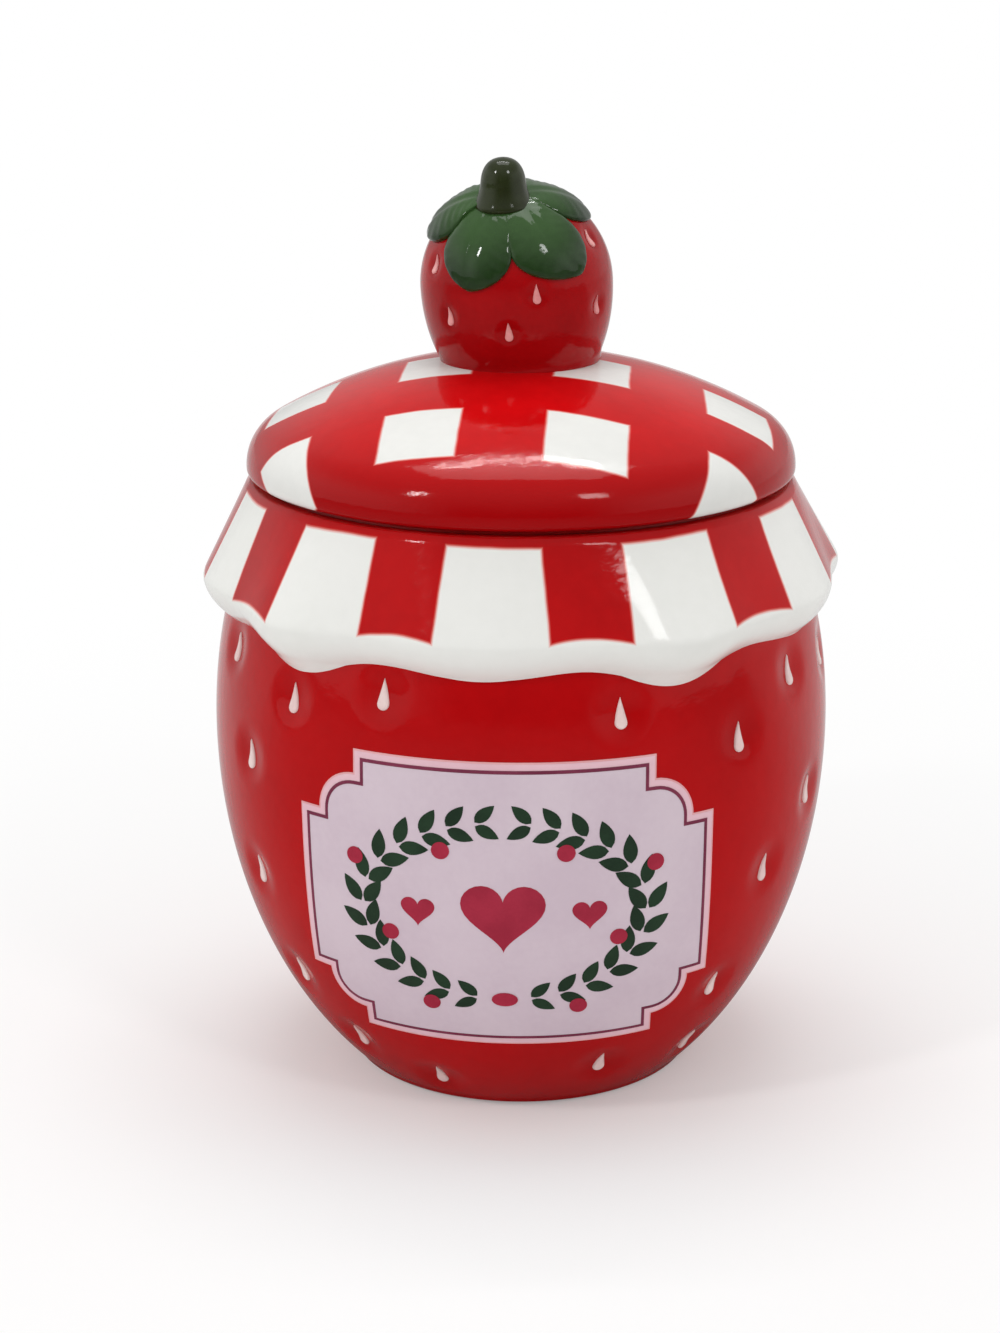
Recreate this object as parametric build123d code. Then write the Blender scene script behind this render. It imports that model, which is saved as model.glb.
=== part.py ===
from build123d import *
import math
import os

# Covered jam pot in glazed earthenware. Millimetres, +Z up, front towards -Y.
# The origin is on the table, under the middle of the pot.
# An azimuth is in degrees from the front, positive towards +X.

# Pot: an egg on a foot ring, drawn in to a straight neck
BELLY_R = 57.3  # widest belt
BELLY_Z = 66.0  # height of the widest belt
FOOT_R = 31.4  # outside of the foot
SHOULDER_STEP = 9.8  # the neck stands in from the belt by this
SHOULDER_RISE = 42.6  # belt to the foot of the neck
NECK_H = 4.6  # straight neck
NECK_WALL = 4.0
WALL = 4.5
FLOOR_T = 5.0
FLOOR_ROUND = 4.0  # hollow between floor and wall, inside
FOOT_RING_W = 6.0
FOOT_RECESS = 1.5
FOOT_ROUND = 1.2
RIM_ROUND = 0.9  # edges of the neck's flat rim
ARC_POINT_COUNT = 13  # points along each curve of a turned wall

# Frill: a ruffle round the neck, with deep and shallow folds by turns
FRILL_GAP = 0.9  # dark line between the frill and the lid
FRILL_BAND = 2.5  # the frill's top stands out from the neck
FRILL_DROP = 17.0  # top of the frill to its ridge
FRILL_FLARE = 5.9  # the ridge stands out from the wall
FRILL_CHAMFER = 0.7  # upper edge
HEM_H = 6.4  # ridge to where the hem tucks in
HEM_SWING = 0.7  # how much more the hem swings than the ridge
HEM_STEPS = 4  # bands of the rounded hem
FOLD_PAIRS = 5
FOLD_DEPTH = 1.3
FOLD_UNEVEN = 0.35  # how much deeper the deep folds are
FOLD_AZIMUTH = 28.5  # a deep crest
FOLD_POINT_COUNT = 16  # points of a section for each pair of folds

# Seeds of the pot: drops, point up, in shallow dimples
SEED_L = 5.6
SEED_W = 2.4
SEED_T = 0.5
SEED_BED = 0.03  # glaze under a seed
DIMPLE_R = 4.6
DIMPLE_DEPTH = 0.9
# azimuth, and height above the belt
SIDE_SEEDS = [
    (-67.5, 19.1), (-45.1, 15.2), (-25.1, 19.1), (17.7, 16.7), (42.1, 8.9), (59.0, 17.0),
    (79.6, 15.1), (-57.9, 1.8), (66.9, -7.7), (-59.7, -21.2), (51.9, -18.4), (-56.7, -41.5),
    (46.0, -41.3), (-45.7, -53.7), (52.4, -56.9), (-23.3, -59.1), (20.8, -54.9),
]
# the same scatter covers the back, turned half round, and these fill its middle
BACK_SEEDS = [
    (162.0, 2.0), (199.0, 4.5), (180.0, -9.0), (158.0, -22.5), (203.0, -20.5), (182.0, -32.0),
    (164.0, -41.0), (201.0, -40.0),
]

# Label: a thin panel on the wall, its corners stepped and rounded
LABEL_W = 77.2  # measured round the wall
LABEL_H = 56.6
LABEL_T = 0.25
LABEL_BED = 0.03  # glaze under the label
LABEL_RISE = -19.1  # middle of the label above the belt
LABEL_AZIMUTH = -3.2
LABEL_STEP = 4.3
LABEL_CORNER = 7.5

# Lid: a shallow dome with a locating flange
LID_OVERHANG = 2.8  # the lid stands out from the neck
LID_RISE = 21.4  # seat to the top of the dome
LID_EDGE = 6.6  # seat to where the dome would meet the edge
LID_ROUND = 9.0
LID_LOWER_ROUND = 1.3
LID_WALL = 4.5
FLANGE_CLEARANCE = 3.0  # flange to mouth, which the seal closes
FLANGE_DEPTH = 10.0
FLANGE_WALL = 4.0
FLANGE_ROUND = 1.0
VENT_R = 1.5  # lets the hollow knob breathe in the kiln

# Seal: a soft ring with two lips in the flange's groove
SEAL_DROP = 3.2  # seat to the groove
SEAL_H = 3.6
SEAL_INSET = 1.7  # depth of the groove
SEAL_PROUD = 0.6  # the ring's band stands out from the flange
SEAL_FIT = 0.05
LIP_T = 0.8
LIP_SLANT = 0.5
LIP_CLEARANCE = 0.1  # lips to mouth

# Knob: a berry on the dome, leaning a little to the side
BERRY_R = 17.4
BERRY_FOOT_STEP = 3.2  # the foot stands in from the belt by this
BERRY_LOW_H = 13.9  # foot to the widest belt
BERRY_WALL = 4.0
BERRY_SKIRT = 3.0  # reaches below the foot before the dome trims it
KNOB_LEAN = 3.3
KNOB_SEED_L = 3.5
KNOB_SEED_W = 1.6
KNOB_SEED_T = 0.35
KNOB_DIMPLE_R = 2.7
KNOB_DIMPLE_DEPTH = 0.55
# azimuth, and height above the berry's belt
KNOB_SEEDS = [
    (-59.0, 5.3), (-45.0, -3.6), (12.0, 0.2), (-6.0, -6.3), (56.0, -3.4), (62.0, 8.2),
    (121.0, 5.3), (135.0, -3.6), (192.0, 0.2), (174.0, -6.3), (236.0, -3.4), (242.0, 5.5),
    (96.0, -2.0), (-98.0, 0.5), (160.0, 8.0), (208.0, 8.6),
]

# Calyx: leaves round the stem, tipped forwards on the berry
LEAF_COUNT = 5
LEAF_T = 1.5
LEAF_AZIMUTH = -17.0
LEAF_NOTCH = 36.0  # degrees from the stem to where the leaves part
LEAF_TIP = 61.0  # degrees from the stem to the tips
LEAF_GAP = 0.5  # degrees that each leaf stays short of its neighbour
LEAF_TAPER = 0.6
LEAF_POINT_COUNT = 6
CALYX_TILT = 27.0
CALYX_AZIMUTH = -16.5
STEM_R = 4.4
STEM_TOP_R = 3.5
STEM_H = 7.7
STEM_ROUND = 3.2
STEM_ROOT = 4.0  # reaches down past the leaves to the berry
STEM_TILT = 6.0

# Sizes that follow from those above
NECK_R = BELLY_R - SHOULDER_STEP
MOUTH_R = NECK_R - NECK_WALL
SHOULDER_Z = BELLY_Z + SHOULDER_RISE
SEAT_Z = SHOULDER_Z + NECK_H
LOWER_SEMI = BELLY_Z / math.sqrt(1 - (FOOT_R / BELLY_R) ** 2)
UPPER_SEMI = SHOULDER_RISE / math.sqrt(1 - (NECK_R / BELLY_R) ** 2)
FRILL_TOP_Z = SEAT_Z - FRILL_GAP
RIDGE_Z = FRILL_TOP_Z - FRILL_DROP
LID_R = NECK_R + LID_OVERHANG
APEX_Z = SEAT_Z + LID_RISE
CROWN_SAG = LID_RISE - LID_EDGE
CROWN_R = (LID_R**2 + CROWN_SAG**2) / (2 * CROWN_SAG)
FLANGE_R = MOUTH_R - FLANGE_CLEARANCE
FLANGE_IN_R = FLANGE_R - FLANGE_WALL
BERRY_FOOT_R = BERRY_R - BERRY_FOOT_STEP
BERRY_LOW_SEMI = BERRY_LOW_H / math.sqrt(1 - (BERRY_FOOT_R / BERRY_R) ** 2)


def arc_span(radius_z, radius_r, centre_z, z_from, z_to):
    """Smooth curve along an ellipse about the axis, between two heights."""
    start = math.asin((z_from - centre_z) / radius_z)
    end = math.asin((z_to - centre_z) / radius_z)
    points = []
    for i in range(ARC_POINT_COUNT):
        angle = start + (end - start) * i / (ARC_POINT_COUNT - 1)
        points.append((radius_r * math.cos(angle), centre_z + radius_z * math.sin(angle)))
    tangents = [(-radius_r * math.sin(angle), radius_z * math.cos(angle)) for angle in (start, end)]
    return Spline(*points, tangents=tangents)


def turned(edges, corners=()):
    """Solid of revolution about Z; each corner is (r, z, rounding)."""
    face = make_face(edges)
    for r, z, rounding in corners:
        vertex = face.vertices().sort_by_distance((r, z))[0]
        face = fillet(vertex, rounding)
    return revolve(Plane.XZ * face, Axis.Z)


def ring(points):
    """Solid of revolution about Z of a closed outline of (r, z) points."""
    return turned(Polyline(*points, close=True))


def wall_radius(z):
    """Outside radius of the pot at a height below the neck."""
    semi = LOWER_SEMI if z < BELLY_Z else UPPER_SEMI
    return BELLY_R * math.sqrt(1 - ((z - BELLY_Z) / semi) ** 2)


def surface_plane(radius, slope, azimuth, z):
    """Plane on a turned wall: X up the wall and Z outwards, slope being dr/dz."""
    angle = math.radians(azimuth)
    out = Vector(math.sin(angle), -math.cos(angle), 0)
    up = out * slope + Vector(0, 0, 1)
    return Plane(out * radius + Vector(0, 0, z), x_dir=up, z_dir=out - Vector(0, 0, slope))


def pot_plane(azimuth, rise):
    """Plane on the pot's wall at a height above the belt."""
    semi = LOWER_SEMI if rise < 0 else UPPER_SEMI
    radius = wall_radius(BELLY_Z + rise)
    slope = -((BELLY_R / semi) ** 2) * rise / radius
    return surface_plane(radius, slope, azimuth, BELLY_Z + rise)


def berry_plane(azimuth, rise):
    """Plane on the berry, in its own frame, at a height above its belt."""
    semi = BERRY_LOW_SEMI if rise < 0 else BERRY_R
    radius = BERRY_R * math.sqrt(1 - (rise / semi) ** 2)
    slope = -((BERRY_R / semi) ** 2) * rise / radius
    return surface_plane(radius, slope, azimuth, BERRY_LOW_H + rise)


def drop_and_dimple(length, width, thickness, dimple_r, depth):
    """A drop-shaped seed, and the ball that hollows the dimple it lies in."""
    ball_r = (dimple_r**2 + depth**2) / (2 * depth)
    centre = Pos(0, 0, ball_r - depth)
    half = width / 2
    round_x = half - length / 2
    reach = length / 2 - round_x
    lean = math.acos(half / reach)
    side = (round_x + half * math.cos(lean), half * math.sin(lean))
    outline = [
        ThreePointArc((side[0], -side[1]), (-length / 2, 0), side),
        Line(side, (length / 2, 0)),
        Line((length / 2, 0), (side[0], -side[1])),
    ]
    prism = extrude(make_face(outline), amount=ball_r / 2, both=True)
    ball = centre * Sphere(ball_r)
    bed_r = ball_r - SEED_BED
    drop = prism & centre * (Sphere(bed_r) - Sphere(bed_r - thickness))
    return drop, ball


def crown_z(r):
    """Height of the lid's dome at a radius."""
    return APEX_Z - CROWN_R + math.sqrt(CROWN_R**2 - r**2)


# Pot
wall_outside = [
    arc_span(LOWER_SEMI, BELLY_R, BELLY_Z, 0, BELLY_Z),
    arc_span(UPPER_SEMI, BELLY_R, BELLY_Z, BELLY_Z, SHOULDER_Z),
    Line((NECK_R, SHOULDER_Z), (NECK_R, SEAT_Z)),
]
envelope = turned(wall_outside + [Polyline((NECK_R, SEAT_Z), (0, SEAT_Z), (0, 0), (FOOT_R, 0))])

inner_r = BELLY_R - WALL
inner_low = LOWER_SEMI - WALL
inner_up = UPPER_SEMI - WALL
mouth_z = BELLY_Z + inner_up * math.sqrt(1 - (MOUTH_R / inner_r) ** 2)
floor_r = inner_r * math.sqrt(1 - ((BELLY_Z - FLOOR_T) / inner_low) ** 2)
recess_r = FOOT_R - FOOT_RING_W
wall_section = wall_outside + [
    Line((NECK_R, SEAT_Z), (MOUTH_R, SEAT_Z)),
    Line((MOUTH_R, SEAT_Z), (MOUTH_R, mouth_z)),
    arc_span(inner_up, inner_r, BELLY_Z, BELLY_Z, mouth_z),
    arc_span(inner_low, inner_r, BELLY_Z, FLOOR_T, BELLY_Z),
    Line((floor_r, FLOOR_T), (0, FLOOR_T)),
    Line((0, FLOOR_T), (0, FOOT_RECESS)),
    Line((0, FOOT_RECESS), (recess_r, FOOT_RECESS)),
    Line((recess_r, FOOT_RECESS), (recess_r, 0)),
    Line((recess_r, 0), (FOOT_R, 0)),
]
wall_corners = [
    (NECK_R, SEAT_Z, RIM_ROUND),
    (MOUTH_R, SEAT_Z, RIM_ROUND),
    (floor_r, FLOOR_T, FLOOR_ROUND),
    (FOOT_R, 0, FOOT_ROUND),
]
seed, dimple = drop_and_dimple(SEED_L, SEED_W, SEED_T, DIMPLE_R, DIMPLE_DEPTH)
scatter = SIDE_SEEDS + [(azimuth + 180, rise) for azimuth, rise in SIDE_SEEDS] + BACK_SEEDS
seed_places = [pot_plane(azimuth, rise).location for azimuth, rise in scatter]
jar_body = turned(wall_section, wall_corners) - [place * dimple for place in seed_places]
jar_seeds = Compound([place * seed.solid() for place in seed_places])


# Frill
def fold(angle):
    """Height of the ruffle's wave at an angle in degrees, between about -1 and 1."""
    turn = math.radians((angle - FOLD_AZIMUTH) * FOLD_PAIRS)
    return math.cos(2 * turn) * (1 + FOLD_UNEVEN * math.cos(turn))


def frill_section(z, radius, depth):
    """Level section of the ruffle."""
    count = FOLD_PAIRS * FOLD_POINT_COUNT
    points = []
    for i in range(count):
        azimuth = 360 * i / count
        r = radius + depth * fold(azimuth)
        points.append((r * math.sin(math.radians(azimuth)), -r * math.cos(math.radians(azimuth)), z))
    return make_face(Spline(*points, periodic=True))


top_r = NECK_R + FRILL_BAND
ridge_r = wall_radius(RIDGE_Z) + FRILL_FLARE
hem_z = RIDGE_Z - HEM_H
tuck_z = hem_z - HEM_H
hem_r = wall_radius(hem_z)
sections = [frill_section(FRILL_TOP_Z, top_r, 0)]
for i in range(HEM_STEPS + 1):
    share = i / HEM_STEPS
    r = hem_r + (ridge_r - hem_r) * (1 - share**2)
    sections.append(frill_section(RIDGE_Z - share * HEM_H, r, FOLD_DEPTH * (1 + share * HEM_SWING)))
sections.append(frill_section(tuck_z, wall_radius(tuck_z) - FRILL_FLARE, FOLD_DEPTH))
bevel_r = top_r - FRILL_CHAMFER
bevel_reach = 3 * FRILL_CHAMFER
bevel = ring([
    (bevel_r, FRILL_TOP_Z),
    (bevel_r + bevel_reach, FRILL_TOP_Z - bevel_reach),
    (bevel_r + bevel_reach, FRILL_TOP_Z),
])
frill_collar = loft(sections, ruled=True) - envelope - bevel

# Label
label_z = BELLY_Z + LABEL_RISE


def label_point(side, arc, rise):
    """Point of the label's outline seen from the front, the arc being measured round the wall."""
    r = wall_radius(label_z + rise)
    return (side * r * math.sin(arc / r), label_z + rise)


def label_half(side):
    """Right or left half of the label's outline, from the bottom middle to the top middle."""
    wide = LABEL_W / 2
    tall = LABEL_H / 2
    step_w = wide - LABEL_STEP
    step_h = tall - LABEL_STEP
    round_w = step_w - LABEL_CORNER
    round_h = step_h - LABEL_CORNER
    mid = LABEL_CORNER * math.sqrt(0.5)
    points = [
        (0, -tall), (round_w, -tall), (round_w, -step_h), (step_w, -round_h), (wide, -round_h),
        (wide, round_h), (step_w, round_h), (round_w, step_h), (round_w, tall), (0, tall),
    ]
    placed = [label_point(side, *point) for point in points]
    low_mid = label_point(side, round_w + mid, -round_h - mid)
    high_mid = label_point(side, round_w + mid, round_h + mid)
    return [
        Polyline(*placed[0:3]),
        ThreePointArc(placed[2], low_mid, placed[3]),
        Polyline(*placed[3:7]),
        ThreePointArc(placed[6], high_mid, placed[7]),
        Polyline(*placed[7:10]),
    ]


def pot_skin(proud):
    """The pot's belly below the neck, grown by a little."""
    r = BELLY_R + proud
    low = LOWER_SEMI + proud
    up = UPPER_SEMI + proud
    low_r = r * math.sqrt(1 - (BELLY_Z / low) ** 2)
    up_r = r * math.sqrt(1 - (SHOULDER_RISE / up) ** 2)
    return turned([
        arc_span(low, r, BELLY_Z, 0, BELLY_Z),
        arc_span(up, r, BELLY_Z, BELLY_Z, SHOULDER_Z),
        Polyline((up_r, SHOULDER_Z), (0, SHOULDER_Z), (0, 0), (low_r, 0)),
    ])


label_face = Plane.XZ * make_face(label_half(1) + label_half(-1))
label_prism = extrude(label_face, amount=BELLY_R + FRILL_FLARE, dir=(0, -1, 0))
label_band = pot_skin(LABEL_BED + LABEL_T) - pot_skin(LABEL_BED)
label = Rot(0, 0, LABEL_AZIMUTH) * (label_prism & label_band)

# Lid
bottom_z = SEAT_Z - FLANGE_DEPTH
inner_crown_r = CROWN_R - LID_WALL
inner_lid_z = APEX_Z - CROWN_R + math.sqrt(inner_crown_r**2 - FLANGE_IN_R**2)
crown_mid = LID_R / 2
inner_mid = FLANGE_IN_R / 2
lid_section = [
    ThreePointArc((0, APEX_Z), (crown_mid, crown_z(crown_mid)), (LID_R, SEAT_Z + LID_EDGE)),
    Polyline(
        (LID_R, SEAT_Z + LID_EDGE),
        (LID_R, SEAT_Z),
        (FLANGE_R, SEAT_Z),
        (FLANGE_R, bottom_z),
        (FLANGE_IN_R, bottom_z),
        (FLANGE_IN_R, inner_lid_z),
    ),
    ThreePointArc(
        (FLANGE_IN_R, inner_lid_z),
        (inner_mid, APEX_Z - CROWN_R + math.sqrt(inner_crown_r**2 - inner_mid**2)),
        (0, APEX_Z - LID_WALL),
    ),
    Line((0, APEX_Z - LID_WALL), (0, APEX_Z)),
]
# largest rounding that touches the dome and leaves the lower edge its own
rim_rise = SEAT_Z + LID_LOWER_ROUND - APEX_Z + CROWN_R
rim_room = (CROWN_R**2 - LID_R**2 - rim_rise**2) / (2 * (CROWN_R - LID_R))
lid_corners = [
    (LID_R, SEAT_Z + LID_EDGE, min(LID_ROUND, 0.98 * rim_room)),
    (LID_R, SEAT_Z, LID_LOWER_ROUND),
    (FLANGE_R, bottom_z, FLANGE_ROUND),
    (FLANGE_IN_R, bottom_z, FLANGE_ROUND),
]
groove_r = FLANGE_R - SEAL_INSET
groove_top = SEAT_Z - SEAL_DROP
groove_low = groove_top - SEAL_H
groove = ring([
    (groove_r, groove_low), (MOUTH_R, groove_low), (MOUTH_R, groove_top), (groove_r, groove_top),
])
vent = Pos(0, 0, APEX_Z) * Cylinder(VENT_R, 4 * LID_WALL)
crown = turned([
    ThreePointArc((0, APEX_Z), (crown_mid, crown_z(crown_mid)), (LID_R, SEAT_Z + LID_EDGE)),
    Polyline((LID_R, SEAT_Z + LID_EDGE), (0, SEAT_Z + LID_EDGE), (0, APEX_Z)),
])
lid_shell = turned(lid_section, lid_corners) - groove - vent

# Seal
band_in = groove_r + SEAL_FIT
band_out = FLANGE_R + SEAL_PROUD
band_low = groove_low + SEAL_FIT
band_top = groove_top - SEAL_FIT
lip_r = MOUTH_R - LIP_CLEARANCE
lid_seal = ring([
    (band_in, band_low), (band_out, band_low), (band_out, band_top), (band_in, band_top),
])
for lip_z in (band_low, band_top - LIP_T - LIP_SLANT):
    lid_seal += ring([
        (groove_r + SEAL_INSET / 2, lip_z),
        (band_out, lip_z),
        (lip_r, lip_z + LIP_SLANT),
        (lip_r, lip_z + LIP_SLANT + LIP_T / 2),
        (band_out, lip_z + LIP_T),
        (groove_r + SEAL_INSET / 2, lip_z + LIP_T),
    ])

# Knob, first in its own frame with the foot at its origin
skirt_z = -BERRY_SKIRT


def berry_solid(inset):
    """The berry, or the hollow inside it."""
    r = BERRY_R - inset
    low = BERRY_LOW_SEMI - inset
    skirt_r = r * math.sqrt(1 - ((BERRY_LOW_H - skirt_z) / low) ** 2)
    return turned([
        arc_span(low, r, BERRY_LOW_H, skirt_z, BERRY_LOW_H),
        CenterArc((0, BERRY_LOW_H), r, 0, 90),
        Polyline((0, BERRY_LOW_H + r), (0, skirt_z), (skirt_r, skirt_z)),
    ])


knob_place = Pos(0, 0, crown_z(BERRY_FOOT_R)) * Rot(0, -KNOB_LEAN, 0)
drop, hollow = drop_and_dimple(
    KNOB_SEED_L, KNOB_SEED_W, KNOB_SEED_T, KNOB_DIMPLE_R, KNOB_DIMPLE_DEPTH
)
drop_places = [berry_plane(azimuth, rise).location for azimuth, rise in KNOB_SEEDS]
berry = berry_solid(0) - berry_solid(BERRY_WALL) - [place * hollow for place in drop_places]
berry_knob = knob_place * berry - crown
knob_seeds = Compound([knob_place * place * drop.solid() for place in drop_places])

# Calyx, about the middle of the berry
berry_middle = (knob_place * Pos(0, 0, BERRY_LOW_H)).position
calyx_place = Pos(*berry_middle) * Rot(0, 0, CALYX_AZIMUTH) * Rot(CALYX_TILT, 0, 0)
berry_ball = Pos(*berry_middle) * Sphere(BERRY_R)
stem_foot = (calyx_place * Pos(0, 0, BERRY_R)).position
stem_place = Pos(*stem_foot) * Rot(0, 0, CALYX_AZIMUTH) * Rot(STEM_TILT, 0, 0)
stem_slope = (STEM_R - STEM_TOP_R) / STEM_H
stem_body = Cone(
    STEM_R + stem_slope * STEM_ROOT, STEM_TOP_R, STEM_H + STEM_ROOT,
    align=(Align.CENTER, Align.CENTER, Align.MIN),
)
stem_body = fillet(stem_body.edges().sort_by(Axis.Z)[-1], STEM_ROUND)
stem_body = stem_place * Pos(0, 0, -STEM_ROOT) * stem_body
stem = stem_body - berry_ball

leaf_mid = math.radians((LEAF_NOTCH + LEAF_TIP) / 2)
leaf_half = 180 / LEAF_COUNT - LEAF_GAP


def leaf_point(polar, azimuth):
    """Point of a leaf's outline on the berry, seen along the leaf's middle."""
    p = math.radians(polar)
    a = math.radians(azimuth)
    x = BERRY_R * math.sin(p) * math.sin(a)
    y = BERRY_R * (math.cos(p) * math.sin(leaf_mid) - math.sin(p) * math.cos(a) * math.cos(leaf_mid))
    return (x, y)


def leaf_side(side):
    """Edge of a leaf from the stem to where the leaves part."""
    return [leaf_point(LEAF_NOTCH * i / 4, side * leaf_half) for i in range(1, 5)]


def lobe_side(side):
    """Edge of a leaf from where the leaves part to just short of its tip."""
    points = []
    for i in range(LEAF_POINT_COUNT):
        share = i / LEAF_POINT_COUNT
        polar = LEAF_NOTCH + share * (LEAF_TIP - LEAF_NOTCH)
        points.append(leaf_point(polar, side * leaf_half * (1 - share**2) ** LEAF_TAPER))
    return points


right = leaf_side(1)
left = leaf_side(-1)
lobe = lobe_side(1) + [leaf_point(LEAF_TIP, 0)] + lobe_side(-1)[::-1]
leaf_outline = [Spline(*right), Spline(*lobe), Spline(*left), Line(right[0], left[0])]
leaf_plane = Plane((0, 0, 0), x_dir=(1, 0, 0), z_dir=(0, -math.sin(leaf_mid), math.cos(leaf_mid)))
leaf_prism = extrude(leaf_plane * make_face(leaf_outline), amount=BERRY_R + 2 * LEAF_T)
leaf = leaf_prism & (Sphere(BERRY_R + LEAF_T) - Sphere(BERRY_R))

pieces = {
    "jar_body": jar_body,
    "jar_seeds": jar_seeds,
    "frill_collar": frill_collar,
    "label": label,
    "lid_shell": lid_shell,
    "lid_seal": lid_seal,
    "berry_knob": berry_knob,
    "knob_seeds": knob_seeds,
    "stem": stem,
}
for i in range(LEAF_COUNT):
    turn = Rot(0, 0, LEAF_AZIMUTH + 360 * i / LEAF_COUNT)
    pieces[f"calyx_leaf_{i + 1}"] = calyx_place * turn * leaf - stem_body

os.makedirs("parts", exist_ok=True)
for name, piece in pieces.items():
    export_step(piece, f"parts/{name}.step")
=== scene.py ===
"""Covered jam pot in glazed earthenware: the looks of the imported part.

Lengths in the classes of pieces are millimetres, and those of the stage metres. Azimuths are
degrees from the front, positive to the right.
"""

import bisect
import functools
import itertools
import logging
import math
import operator
from dataclasses import dataclass, field
from enum import Enum
from typing import Callable, Iterable, Sequence, Union

import bmesh
import bpy
from mathutils import Matrix, Vector


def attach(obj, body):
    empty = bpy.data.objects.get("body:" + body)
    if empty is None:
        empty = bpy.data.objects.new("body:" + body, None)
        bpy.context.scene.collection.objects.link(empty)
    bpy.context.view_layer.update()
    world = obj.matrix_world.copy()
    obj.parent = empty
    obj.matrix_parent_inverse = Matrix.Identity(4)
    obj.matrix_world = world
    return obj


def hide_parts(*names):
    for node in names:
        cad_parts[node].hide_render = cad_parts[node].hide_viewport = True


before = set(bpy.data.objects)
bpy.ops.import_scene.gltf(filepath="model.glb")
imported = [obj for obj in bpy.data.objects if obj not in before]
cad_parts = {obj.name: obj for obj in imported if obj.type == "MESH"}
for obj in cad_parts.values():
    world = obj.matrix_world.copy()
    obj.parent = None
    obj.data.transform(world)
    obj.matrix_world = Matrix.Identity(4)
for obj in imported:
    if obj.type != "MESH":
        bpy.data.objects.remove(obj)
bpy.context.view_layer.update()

MM = 0.001
PER_METRE = 1000.0
ON_AXIS = 1e-6
LOG = logging.getLogger("jam_pot")
Colour = tuple[float, float, float, float]
Point = tuple[float, float]
Triple = tuple[float, float, float]
Spot = tuple[float, float, float, float]  # flat place, turn and size of a print
Place = tuple[Vector, Vector, Vector]  # point on a wall, its outward and its upward direction


class Body(str, Enum):
    """The bodies of the frame."""

    POT = "pot"
    SEAL = "seal"
    LID = "lid"


class Slot(str, Enum):
    """The record's material slots."""

    POT = "pot_glaze"
    FRILL = "frill_glaze"
    SEED = "seed_glaze"
    LABEL = "label_print"
    LID = "lid_glaze"
    BERRY = "berry_glaze"
    LEAF = "leaf_glaze"
    SEAL = "seal_silicone"


class Part(int, Enum):
    """Material index of a zone on a turned piece."""

    OUTSIDE = 0
    INSIDE = 1
    BARE = 2


def srgb(red: float, green: float, blue: float) -> Colour:
    """Linear colour of a screen colour.

    Args:
        red: Red from 0 to 255.
        green: Green from 0 to 255.
        blue: Blue from 0 to 255.

    Returns:
        The linear colour with full alpha.
    """
    linear = [
        c / 12.92 if c <= 0.04045 else ((c + 0.055) / 1.055) ** 2.4
        for c in (red / 255, green / 255, blue / 255)
    ]
    return (linear[0], linear[1], linear[2], 1.0)


class Wire:
    """A value in a node tree that takes part in ordinary arithmetic."""

    def __init__(self, graph: "Graph", socket: bpy.types.NodeSocket) -> None:
        """Keeps the graph and the output socket that carries the value."""
        self.graph = graph
        self.socket = socket

    def __add__(self, other: "Scalar") -> "Wire":
        """Sum."""
        return self.graph.math("ADD", self, other)

    __radd__ = __add__

    def __sub__(self, other: "Scalar") -> "Wire":
        """Difference."""
        return self.graph.math("SUBTRACT", self, other)

    def __rsub__(self, other: "Scalar") -> "Wire":
        """Difference from a number."""
        return self.graph.math("SUBTRACT", other, self)

    def __mul__(self, other: "Scalar") -> "Wire":
        """Product."""
        return self.graph.math("MULTIPLY", self, other)

    __rmul__ = __mul__

    def __truediv__(self, other: "Scalar") -> "Wire":
        """Quotient."""
        return self.graph.math("DIVIDE", self, other)

    def __pow__(self, other: "Scalar") -> "Wire":
        """Power."""
        return self.graph.math("POWER", self, other)

    def __abs__(self) -> "Wire":
        """Absolute value."""
        return self.graph.math("ABSOLUTE", self)


Scalar = Union[Wire, float]


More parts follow.
